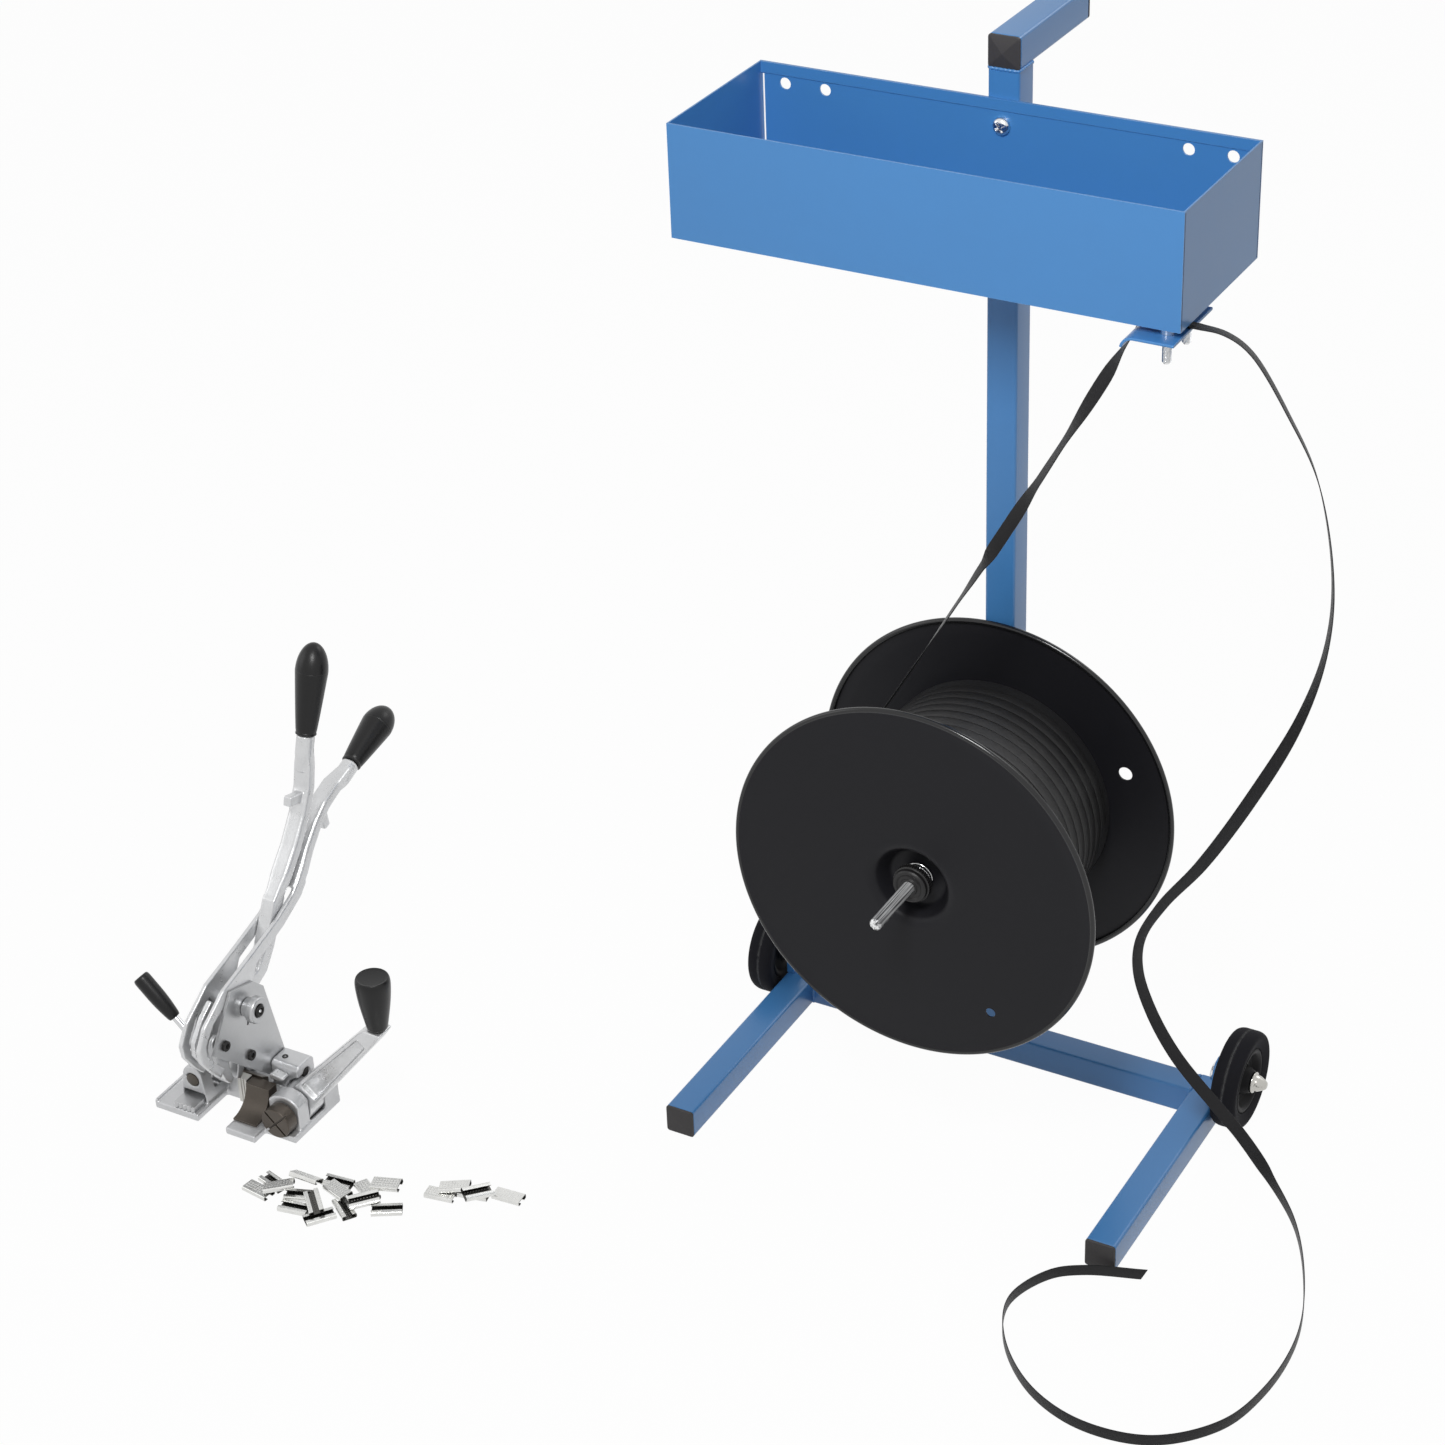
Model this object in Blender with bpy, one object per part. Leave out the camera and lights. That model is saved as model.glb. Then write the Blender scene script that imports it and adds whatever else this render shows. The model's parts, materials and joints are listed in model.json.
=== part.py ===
"""Manual strapping set: a mobile strap dispenser, a hand tensioner and sealer, and loose seals.

The dispenser is a square-tube trolley with a tool tray, a reel of plastic strap on an axle and two wheels.
The origin is on the floor under the column's centre: +X to the right, +Y to the rear, +Z up, in metres.
"""

import math

import bmesh
import bpy
import numpy as np
from mathutils import Matrix, Vector

# Fits and sheet
GAP = 0.0003
SHEET = 0.0015

# Square tube frame
TUBE = 0.030
TUBE_WALL = 0.002
TUBE_CORNER = 0.003
TRACK = 0.450
LEG_FRONT = 0.268
HEIGHT = 1.080
HANDLE_REACH = 0.132
CAP_PLATE = 0.003
CAP_PEAK = 0.004
CAP_PLUG = 0.014

# Tool tray
TRAY_LENGTH = 0.474
TRAY_DEPTH = 0.168
TRAY_HEIGHT = 0.105
TRAY_DROP = 0.056
TRAY_HEM = 0.010
CORNER_SLIT = 0.0022
HANG_HOLE = 0.011
HANG_HOLE_DROP = 0.018
HANG_HOLE_FIRST = 0.025
HANG_HOLE_STEP = 0.040
TRAY_SCREW = 0.008
TRAY_SCREW_DROP = 0.024
SCREW_HEAD = 0.016
SCREW_HEAD_HEIGHT = 0.006

# Strap guide under the tray's right end
GUIDE_THICK = 0.0025
GUIDE_WIDTH = 0.084
GUIDE_LENGTH = 0.036
GUIDE_LIP = 0.012
GUIDE_DROP = 0.0075
GUIDE_BOLT = 0.008
GUIDE_BOLT_HEAD = 0.013
GUIDE_BOLT_HEAD_HEIGHT = 0.005
GUIDE_BOLT_HANG = 0.024
GUIDE_BOLT_INSET = 0.014
GUIDE_BOLT_SPAN = 0.042
GUIDE_OVERHANG = 0.002

# Wheels
WHEEL = 0.100
WHEEL_WIDTH = 0.027
WHEEL_HUB = 0.066
WHEEL_SIDE = 0.002
WHEEL_AXLE = 0.012
AXLE_HEAD = 0.020
AXLE_HEAD_THICK = 0.004
BRACKET = 0.008
BRACKET_RISE = 0.018
AXLE_CAP = 0.022
AXLE_CAP_LENGTH = 0.015
AXLE_CAP_TIP = 0.008
HUB_RECESS = 0.006

# Reel
REEL_HEIGHT = 0.325
REEL_SIDE = 0.0025
REEL_WIDTH = 0.188
FLANGE = 0.370
FLANGE_ROLL = 0.0028
CUP = 0.078
CUP_FLOOR = 0.058
CUP_DEPTH = 0.022
REEL_AXLE = 0.012
AXLE_SHOULDER = 0.026
AXLE_OUT = 0.069
FLANGE_HOLE = 0.014
FLANGE_HOLE_RADIUS = 0.144
COLLAR = 0.038
COLLAR_LENGTH = 0.012
COLLAR_PROUD = 0.003
COLLAR_TEETH = 18
SPRING_WIRE = 0.0024
SPRING = 0.030
SPRING_TURNS = 2
CORE = 0.200
CORE_WALL = 0.003
CORE_HUB = 0.034
ROLL = 0.2394

# Strap
STRAP_Y = -0.150
STRAP = 0.012
STRAP_THICK = 0.0009
WIND_GAP = 0.0008
LOOP_POINTS = 24
FEED_SAG = 0.004

# Shared mesh counts
ROUND = 18
WHEEL_ROUND = 26
FLANGE_ROUND = 44
SMOOTH_ANGLE = math.radians(32)


def colour(name, rgb, roughness, metallic):
    """A Principled material with one plain colour."""
    made = bpy.data.materials.new(name)
    made.use_nodes = True
    shader = made.node_tree.nodes["Principled BSDF"]
    shader.inputs["Base Color"].default_value = (*rgb, 1.0)
    shader.inputs["Roughness"].default_value = roughness
    shader.inputs["Metallic"].default_value = metallic
    made.diffuse_color = (*rgb, 1.0)
    return made


def joint_empty(name, place):
    """An empty on a joint's axis, the parent of the pieces that turn about it."""
    empty = bpy.data.objects.new(name, None)
    empty.empty_display_size = 0.02
    empty.location = place
    bpy.context.scene.collection.objects.link(empty)
    return empty


def piece(name, shape, material, parent=None):
    """A named object from a bmesh in world metres, smooth shaded with sharp edges."""
    bmesh.ops.recalc_face_normals(shape, faces=shape.faces[:])
    mesh = bpy.data.meshes.new(name)
    shape.to_mesh(mesh)
    shape.free()
    mesh.shade_smooth()
    mesh.set_sharp_from_angle(angle=SMOOTH_ANGLE)
    made = bpy.data.objects.new(name, mesh)
    bpy.context.scene.collection.objects.link(made)
    if material:
        mesh.materials.append(material)
    if parent:
        made.parent = parent
        made.matrix_parent_inverse = Matrix.Translation(-parent.location)
    return made


def combine(target, shape, operation="DIFFERENCE"):
    """A Boolean on target with a hidden cutter, which moves with it."""
    cutter = piece(f"{target.name}_{operation.lower()}_{len(target.modifiers)}", shape, None)
    cutter.hide_render = True
    cutter.display_type = "WIRE"
    if target.parent:
        cutter.parent = target.parent
        cutter.matrix_parent_inverse = target.matrix_parent_inverse
    step = target.modifiers.new(cutter.name, "BOOLEAN")
    step.operation = operation
    step.solver = "EXACT"
    step.object = cutter


def spread(axis, u, v, along):
    """A point from two coordinates in the plane square to axis and one along it."""
    place = [u, v]
    place.insert("xyz".index(axis), along)
    return Vector(place)


def rounded(low, high, radius, steps=2):
    """The outline of a rectangle with round corners."""
    corners = (
        (high[0] - radius, high[1] - radius, 0),
        (low[0] + radius, high[1] - radius, 90),
        (low[0] + radius, low[1] + radius, 180),
        (high[0] - radius, low[1] + radius, 270),
    )
    return [point for u, v, start in corners for point in arc((u, v), radius, start, start + 90, steps)]


def rectangle(low, high):
    """The outline of a rectangle."""
    return [(low[0], low[1]), (high[0], low[1]), (high[0], high[1]), (low[0], high[1])]


def arc(centre, radius, start, end, steps):
    """Points along an arc, angles in degrees."""
    angles = [math.radians(start + (end - start) * k / steps) for k in range(steps + 1)]
    return [(centre[0] + radius * math.cos(a), centre[1] + radius * math.sin(a)) for a in angles]


def circle(centre, radius, steps=ROUND):
    """The outline of a circle."""
    return arc(centre, radius, 0, 360 - 360 / steps, steps - 1)


def prism(axis, outline, low, high, holes=(), shape=None):
    """An outline with holes, extruded along an axis."""
    shape = shape or bmesh.new()
    edges = []
    for loop in (outline, *holes):
        ring = [shape.verts.new(spread(axis, u, v, low)) for u, v in loop]
        edges += [shape.edges.new((ring[k - 1], ring[k])) for k in range(len(ring))]
    filled = bmesh.ops.triangle_fill(shape, use_beauty=True, use_dissolve=False, edges=edges)
    faces = [item for item in filled["geom"] if isinstance(item, bmesh.types.BMFace)]
    moved = bmesh.ops.extrude_face_region(shape, geom=faces)
    verts = [item for item in moved["geom"] if isinstance(item, bmesh.types.BMVert)]
    bmesh.ops.translate(shape, vec=spread(axis, 0, 0, high - low), verts=verts)
    return shape


def block(low, high, shape=None):
    """A rectangular block between two corners."""
    return prism("z", rectangle(low[:2], high[:2]), low[2], high[2], shape=shape)


def loft(rings, closed=False, shape=None):
    """A skin over rings of points, capped at both ends unless it closes on itself."""
    shape = shape or bmesh.new()
    made = [[shape.verts.new(point) for point in ring] for ring in rings]
    pairs = list(zip(made, made[1:]))
    if closed:
        pairs.append((made[-1], made[0]))
    else:
        shape.faces.new(made[0])
        shape.faces.new(made[-1])
    for one, two in pairs:
        for k in range(len(one)):
            shape.faces.new((one[k - 1], one[k], two[k], two[k - 1]))
    return shape


def turned(axis, centre, profile, steps=ROUND, closed=False, wave=None, shape=None):
    """A profile of (radius, place along the axis) turned about the axis through centre.

    The profile is a loop if closed, and otherwise it starts and ends on the axis.
    wave(angle, radius, along) scales radii.
    """
    shape = shape or bmesh.new()
    rings = []
    for radius, along in profile:
        count = steps if radius > 0 else 1
        ring = []
        for k in range(count):
            angle = 2 * math.pi * k / steps
            reach = radius * (wave(angle, radius, along) if wave else 1)
            u = centre[0] + reach * math.cos(angle)
            v = centre[1] + reach * math.sin(angle)
            ring.append(shape.verts.new(spread(axis, u, v, along)))
        rings.append(ring)
    pairs = list(zip(rings, rings[1:]))
    if closed:
        pairs.append((rings[-1], rings[0]))
    for one, two in pairs:
        for k in range(steps):
            if len(one) == 1:
                face = (one[0], two[k], two[k - 1])
            elif len(two) == 1:
                face = (one[k - 1], one[k], two[0])
            else:
                face = (one[k - 1], one[k], two[k], two[k - 1])
            shape.faces.new(face)
    return shape


def rod(axis, centre, radius, low, high, steps=ROUND, shape=None):
    """A plain round bar or a drill."""
    return turned(axis, centre, [(0, low), (radius, low), (radius, high), (0, high)], steps, shape=shape)


def smooth_curve(rows, count):
    """Rows at equal steps of length on a smooth curve through the given rows (centripetal Catmull-Rom).

    The first three numbers of a row are a place, which sets the steps. Any others are carried along.
    """
    rows = np.asarray(rows, float)
    ends = np.vstack([2 * rows[0] - rows[1], rows, 2 * rows[-1] - rows[-2]])
    knots = np.concatenate([[0.0], np.cumsum(np.sqrt(lengths(ends)))])
    dense = []
    for k in range(len(rows) - 1):
        a, b, c, d = ends[k:k + 4]
        ka, kb, kc, kd = knots[k:k + 4]
        for t in np.linspace(kb, kc, 16, endpoint=False):
            ab = a + (b - a) * (t - ka) / (kb - ka)
            bc = b + (c - b) * (t - kb) / (kc - kb)
            cd = c + (d - c) * (t - kc) / (kd - kc)
            abc = ab + (bc - ab) * (t - ka) / (kc - ka)
            bcd = bc + (cd - bc) * (t - kb) / (kd - kb)
            dense.append(abc + (bcd - abc) * (t - kb) / (kc - kb))
    dense = np.array([*dense, rows[-1]])
    travelled = np.concatenate([[0.0], np.cumsum(lengths(dense))])
    steps = np.linspace(0.0, travelled[-1], count)
    return np.column_stack([np.interp(steps, travelled, column) for column in dense.T])


def lengths(rows):
    """The distance from each row's place to the next one's."""
    return np.linalg.norm(np.diff(rows[:, :3], axis=0), axis=1)


def ribbon(path, across, width, thick):
    """A flat strap along path: at each point across gives the direction of its width."""
    rings = []
    for k, place in enumerate(path):
        along = (path[min(k + 1, len(path) - 1)] - path[max(k - 1, 0)]).normalized()
        side = (across[k] - along * across[k].dot(along)).normalized()
        face = along.cross(side)
        w = side * width / 2
        t = face * thick / 2
        rings.append([place - w - t, place + w - t, place + w + t, place - w + t])
    return loft(rings)


def tube_along(path, radius, steps, normal):
    """A round wire along path; normal is a direction that the path never runs along."""
    rings = []
    for k, place in enumerate(path):
        along = (path[min(k + 1, len(path) - 1)] - path[max(k - 1, 0)]).normalized()
        side = normal.cross(along).normalized()
        up = along.cross(side)
        angles = [2 * math.pi * n / steps for n in range(steps)]
        rings.append([place + radius * (side * math.cos(a) + up * math.sin(a)) for a in angles])
    return loft(rings)


for old in list(bpy.data.objects):
    bpy.data.objects.remove(old)

PAINT = colour("blue paint", (0.08, 0.27, 0.60), 0.35, 0.0)
BLACK_STEEL = colour("black flange", (0.024, 0.024, 0.029), 0.5, 0.1)
PLASTIC = colour("black plastic", (0.03, 0.03, 0.034), 0.5, 0.0)
RUBBER = colour("tyre rubber", (0.05, 0.05, 0.053), 0.8, 0.0)
CHROME = colour("bright plated steel", (0.72, 0.73, 0.74), 0.2, 1.0)
STRAP_BLACK = colour("strap", (0.03, 0.03, 0.033), 0.45, 0.0)
BOARD = colour("roll core", (0.25, 0.19, 0.13), 0.9, 0.0)

HALF_TUBE = TUBE / 2
LEG_X = TRACK / 2
BORE = TUBE / 2 - TUBE_WALL


def square_tube(name, axis, centre, low, high):
    """A welded square tube, open at both ends."""
    half = HALF_TUBE
    outer = rounded((centre[0] - half, centre[1] - half), (centre[0] + half, centre[1] + half), TUBE_CORNER)
    inner = rectangle((centre[0] - BORE, centre[1] - BORE), (centre[0] + BORE, centre[1] + BORE))
    return piece(name, prism(axis, outer, low, high, [inner]), PAINT)


def tube_cap(name, centre, end, outward, peak):
    """A plastic plug for a tube that ends at end along Y: a plate with a low pyramid, and a spigot inside."""
    plug = BORE - GAP
    plate = HALF_TUBE
    rim = plate * 0.8

    def square(half, along):
        corners = rectangle((centre[0] - half, centre[1] - half), (centre[0] + half, centre[1] + half))
        return [Vector((u, along, v)) for u, v in corners]

    face = end + outward * (GAP + CAP_PLATE)
    rings = [
        square(plug, end - outward * CAP_PLUG),
        square(plug, end + outward * GAP),
        square(plate, end + outward * GAP),
        square(plate, face),
    ]
    if peak:
        rings += [square(rim, face + outward * peak * 0.3), square(plate * 0.05, face + outward * peak)]
    return piece(name, loft(rings), PLASTIC)


# Frame: legs, crossbar, column and handle
def build_frame():
    rear = HALF_TUBE
    front = -LEG_FRONT + CAP_PLATE + GAP
    for side, name in ((-1, "left"), (1, "right")):
        centre = (side * LEG_X, HALF_TUBE)
        half = HALF_TUBE
        outer = rounded((centre[0] - half, 0.0), (centre[0] + half, TUBE), TUBE_CORNER)
        leg = piece(f"{name}_leg", prism("y", outer, front, rear), PAINT)
        low = (centre[0] - BORE, front - TUBE, TUBE_WALL)
        high = (centre[0] + BORE, rear - TUBE_WALL, TUBE - TUBE_WALL)
        combine(leg, block(low, high))
        tube_cap(f"{name}_leg_cap", centre, front, -1, 0)
    inside = LEG_X - HALF_TUBE - GAP
    square_tube("base_crossbar", "x", (0, HALF_TUBE), -inside, inside)
    column = square_tube("column", "z", (0, 0), TUBE + GAP, HEIGHT - TUBE - GAP)
    bore = REEL_AXLE / 2 + GAP
    combine(column, rod("y", (0, REEL_HEIGHT), bore, -TUBE, TUBE))
    screw = TRAY_SCREW / 2 + GAP
    combine(column, rod("y", (0, SCREW_HEIGHT), screw, -TUBE, 0))
    handle = HEIGHT - HALF_TUBE
    low = -HALF_TUBE + CAP_PLATE + GAP
    square_tube("handle_bar", "y", (0, handle), low, HANDLE_REACH - CAP_PLATE - GAP)
    tube_cap("handle_front_cap", (0, handle), low, -1, CAP_PEAK)
    tube_cap("handle_rear_cap", (0, handle), HANDLE_REACH - CAP_PLATE - GAP, 1, CAP_PEAK)


TRAY_TOP = HEIGHT - TRAY_DROP
TRAY_FLOOR = TRAY_TOP - TRAY_HEIGHT
TRAY_BACK = -HALF_TUBE - GAP
TRAY_FRONT = TRAY_BACK - TRAY_DEPTH
SCREW_HEIGHT = TRAY_TOP - TRAY_SCREW_DROP
GUIDE_TOP = TRAY_FLOOR - GUIDE_DROP
GUIDE_RIGHT = TRAY_LENGTH / 2 - GUIDE_OVERHANG
BOLT_X = GUIDE_RIGHT - GUIDE_BOLT_INSET


def bolt_places():
    """Centres of the two guide bolts, front first."""
    middle = STRAP_Y
    return [(BOLT_X, middle + side * GUIDE_BOLT_SPAN / 2) for side in (-1, 1)]


# Tray: folded sheet with a hem along the back edge, hanging holes, and its screw
def build_tray():
    half = TRAY_LENGTH / 2
    tray = piece("tray", block((-half, TRAY_FRONT, TRAY_FLOOR), (half, TRAY_BACK, TRAY_TOP)), PAINT)
    inner_front = TRAY_FRONT + SHEET
    inner_back = TRAY_BACK - SHEET
    hem = TRAY_TOP - TRAY_HEM
    hollow = [
        (inner_front, TRAY_FLOOR + SHEET),
        (inner_back, TRAY_FLOOR + SHEET),
        (inner_back, hem),
        (inner_back - SHEET, hem),
        (inner_back - SHEET, TRAY_TOP + SHEET),
        (inner_front, TRAY_TOP + SHEET),
    ]
    combine(tray, prism("x", hollow, -half + SHEET, half - SHEET))
    # The back sheet's holes, and the open seams where it meets the end walls
    screw = TRAY_SCREW / 2
    near = inner_back - 3 * SHEET
    far = TRAY_BACK + 2 * SHEET
    cuts = rod("y", (0, SCREW_HEIGHT), screw + GAP, near, far)
    for side in (-1, 1):
        for number in range(2):
            place = (side * (half - HANG_HOLE_FIRST - number * HANG_HOLE_STEP), TRAY_TOP - HANG_HOLE_DROP)
            rod("y", place, HANG_HOLE / 2, near, far, shape=cuts)
        inside = half - SHEET - GAP
        seam = sorted((side * inside, side * (inside - CORNER_SLIT)))
        block((seam[0], near, TRAY_FLOOR + 2 * SHEET), (seam[1], far, hem - SHEET), shape=cuts)
    combine(tray, cuts)
    cuts = bmesh.new()
    for place in bolt_places():
        rod("z", place, GUIDE_BOLT / 2 + GAP, TRAY_FLOOR - SHEET, TRAY_FLOOR + 2 * SHEET, shape=cuts)
    combine(tray, cuts)
    seat = inner_back - GAP
    head = SCREW_HEAD / 2
    profile = [
        (0, -HALF_TUBE + TUBE_WALL + SCREW_HEAD_HEIGHT),
        (screw, -HALF_TUBE + TUBE_WALL + SCREW_HEAD_HEIGHT),
        (screw, seat),
        (head, seat),
        (head, seat - SCREW_HEAD_HEIGHT * 0.35),
        (head * 0.72, seat - SCREW_HEAD_HEIGHT * 0.85),
        (head * 0.3, seat - SCREW_HEAD_HEIGHT),
        (0, seat - SCREW_HEAD_HEIGHT),
    ]
    piece("tray_screw", turned("y", (0, SCREW_HEIGHT), profile), CHROME)


# Guide: a plate with a rolled lip, hung below the tray on two bolts, with the strap between
def build_guide():
    left = GUIDE_RIGHT - GUIDE_LENGTH
    outer = arc((left, GUIDE_TOP - GUIDE_LIP), GUIDE_LIP, 170, 90, 5)
    inner = arc((left, GUIDE_TOP - GUIDE_LIP), GUIDE_LIP - GUIDE_THICK, 90, 170, 5)
    outline = [*outer, (GUIDE_RIGHT, GUIDE_TOP), (GUIDE_RIGHT, GUIDE_TOP - GUIDE_THICK), *inner]
    low = STRAP_Y - GUIDE_WIDTH / 2
    plate = piece("strap_guide_plate", prism("y", outline, low, low + GUIDE_WIDTH), PAINT)
    shank = GUIDE_BOLT / 2
    head = GUIDE_BOLT_HEAD / 2
    top = TRAY_FLOOR + SHEET + GAP
    under = GUIDE_TOP - GUIDE_THICK - GAP
    nut = under - GUIDE_BOLT_HEAD_HEIGHT
    profile = [
        (0, top + GUIDE_BOLT_HEAD_HEIGHT),
        (head, top + GUIDE_BOLT_HEAD_HEIGHT),
        (head, top),
        (shank, top),
        (shank, TRAY_FLOOR - GAP),
        (shank * 1.5, TRAY_FLOOR - GAP),
        (shank * 1.5, GUIDE_TOP + GAP),
        (shank, GUIDE_TOP + GAP),
        (shank, under),
        (head, under),
        (head, nut),
        (shank, nut),
        (shank, under - GUIDE_BOLT_HANG + shank * 0.3),
        (shank * 0.7, under - GUIDE_BOLT_HANG),
        (0, under - GUIDE_BOLT_HANG),
    ]

    def hexagon(angle, radius, along):
        """Six flats on the head and the nut, round elsewhere."""
        if radius == head:
            return math.cos(math.radians(30)) / math.cos((angle + math.pi / 6) % (math.pi / 3) - math.pi / 6)
        return 1.0

    for name, place in zip(("guide_bolt_front", "guide_bolt_rear"), bolt_places()):
        combine(plate, rod("z", place, shank + GAP, GUIDE_TOP - 3 * GUIDE_THICK, GUIDE_TOP + GUIDE_THICK))
        piece(name, turned("z", place, profile, 12, wave=hexagon), CHROME)


WHEEL_X = LEG_X + HALF_TUBE + WHEEL_SIDE
WHEEL_AXIS = (0.0, WHEEL / 2)


# Wheels: a bracket on the leg, a stub axle, a tyre on a recessed hub and a push-on axle cap
def build_wheel(side, name):
    axle = WHEEL_AXLE / 2
    bracket_in = LEG_X + HALF_TUBE - BRACKET
    bracket_out = LEG_X + HALF_TUBE
    half = HALF_TUBE
    top = WHEEL / 2 + BRACKET_RISE - half
    outline = [(-half, TUBE + GAP), (half, TUBE + GAP), *arc((0, top), half, 0, 180, 8)]
    hole = circle(WHEEL_AXIS, axle + GAP)
    shape = prism("x", outline, side * bracket_in, side * bracket_out, [hole])
    piece(f"{name}_axle_bracket", shape, PAINT)

    outside = WHEEL_X + WHEEL_WIDTH
    end = outside + AXLE_CAP_LENGTH * 0.5
    head = bracket_in - GAP
    profile = [
        (0, head - AXLE_HEAD_THICK),
        (AXLE_HEAD / 2, head - AXLE_HEAD_THICK),
        (AXLE_HEAD / 2, head),
        (axle, head),
        (axle, end),
        (0, end),
    ]
    piece(f"{name}_stub_axle", mirrored_turn(side, profile), CHROME)

    turn = joint_empty(f"{name}_wheel_axis", (side * (WHEEL_X + WHEEL_WIDTH / 2), *WHEEL_AXIS))
    radius = WHEEL / 2
    seat = WHEEL_HUB / 2
    middle = WHEEL_X + WHEEL_WIDTH / 2
    shoulder = WHEEL_WIDTH * 0.12
    groove = WHEEL_WIDTH * 0.06
    tyre = [
        (seat, WHEEL_X + shoulder),
        (radius - shoulder, WHEEL_X),
        (radius - shoulder * 0.25, WHEEL_X + shoulder * 0.8),
        (radius, WHEEL_X + shoulder * 2),
        (radius, middle - groove),
        (radius - groove, middle - groove / 2),
        (radius - groove, middle + groove / 2),
        (radius, middle + groove),
        (radius, outside - shoulder * 2),
        (radius - shoulder * 0.25, outside - shoulder * 0.8),
        (radius - shoulder, outside),
        (seat, outside - shoulder),
    ]
    piece(f"{name}_tyre", mirrored_turn(side, tyre, WHEEL_ROUND, True), RUBBER, turn)
    rim = seat - GAP
    dish = outside - shoulder - HUB_RECESS
    boss = AXLE_CAP / 2
    hub = [
        (axle + GAP, WHEEL_X),
        (boss, WHEEL_X),
        (boss + HUB_RECESS / 2, WHEEL_X + HUB_RECESS),
        (rim - HUB_RECESS, WHEEL_X + HUB_RECESS),
        (rim - HUB_RECESS / 2, WHEEL_X + shoulder),
        (rim, WHEEL_X + shoulder),
        (rim, outside - shoulder),
        (rim - HUB_RECESS / 2, outside - shoulder),
        (rim - HUB_RECESS, dish),
        (boss + HUB_RECESS / 2, dish),
        (boss, outside),
        (axle + GAP, outside),
    ]
    piece(f"{name}_hub", mirrored_turn(side, hub, WHEEL_ROUND, True), PLASTIC, turn)
    base = outside + GAP
    tip = outside + AXLE_CAP_LENGTH
    depth = end + GAP
    cap = [
        (0, depth),
        (axle + GAP, depth),
        (axle + GAP, base),
        (boss * 0.9, base),
        (boss, base + AXLE_CAP_LENGTH * 0.1),
        (boss * 0.92, base + AXLE_CAP_LENGTH * 0.3),
        (AXLE_CAP_TIP / 2, tip - AXLE_CAP_LENGTH * 0.1),
        (AXLE_CAP_TIP / 3, tip),
        (0, tip),
    ]
    piece(f"{name}_axle_cap", mirrored_turn(side, cap), CHROME)


def mirrored_turn(side, profile, steps=ROUND, closed=False):
    """A turned piece on the wheel axis, for the left (-1) or the right (1) wheel."""
    return turned("x", WHEEL_AXIS, [(r, side * along) for r, along in profile], steps, closed)


REEL_AXIS = (0.0, REEL_HEIGHT)
REEL_BACK = -HALF_TUBE - REEL_SIDE
REEL_FRONT = REEL_BACK - REEL_WIDTH
CUP_BOTTOM = REEL_FRONT + CUP_DEPTH
COLLAR_FRONT = REEL_FRONT - COLLAR_PROUD
COLLAR_BACK = COLLAR_FRONT + COLLAR_LENGTH
WIND_FRONT = REEL_FRONT + 2 * FLANGE_ROLL + GAP
WIND_BACK = REEL_BACK - 2 * FLANGE_ROLL - GAP
WIND_PITCH = STRAP + WIND_GAP
TURNS = int((WIND_BACK - WIND_FRONT - STRAP) / WIND_PITCH)
WIND_OUTSIDE = ROLL / 2
WIND_MIDDLE = WIND_OUTSIDE - STRAP_THICK / 2
ROLL_OUTSIDE = WIND_OUTSIDE - STRAP_THICK - GAP


def flange_profile(face, inward, cup):
    """A pressed disc with a rolled rim; face is its outer plane and inward points to the roll."""
    edge = FLANGE / 2
    roll = FLANGE_ROLL
    bead = [
        (edge - roll + r, face + inward * (roll + along))
        for r, along in arc((0, 0), roll, -90, 150, 5)
    ]
    inner = face + inward * SHEET
    bore = REEL_AXLE / 2 + GAP
    profile = [*bead, (edge - 2 * roll, inner)]
    if cup:
        floor = face + inward * CUP_DEPTH
        profile += [
            (CUP / 2 + SHEET, inner),
            (CUP_FLOOR / 2 + SHEET, floor),
            (bore, floor),
            (bore, floor - inward * SHEET),
            (CUP_FLOOR / 2, floor - inward * SHEET),
            (CUP / 2, face + inward * SHEET / 2),
            (CUP / 2 + SHEET, face),
        ]
    else:
        profile += [(bore, inner), (bore, face)]
    return profile


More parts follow.
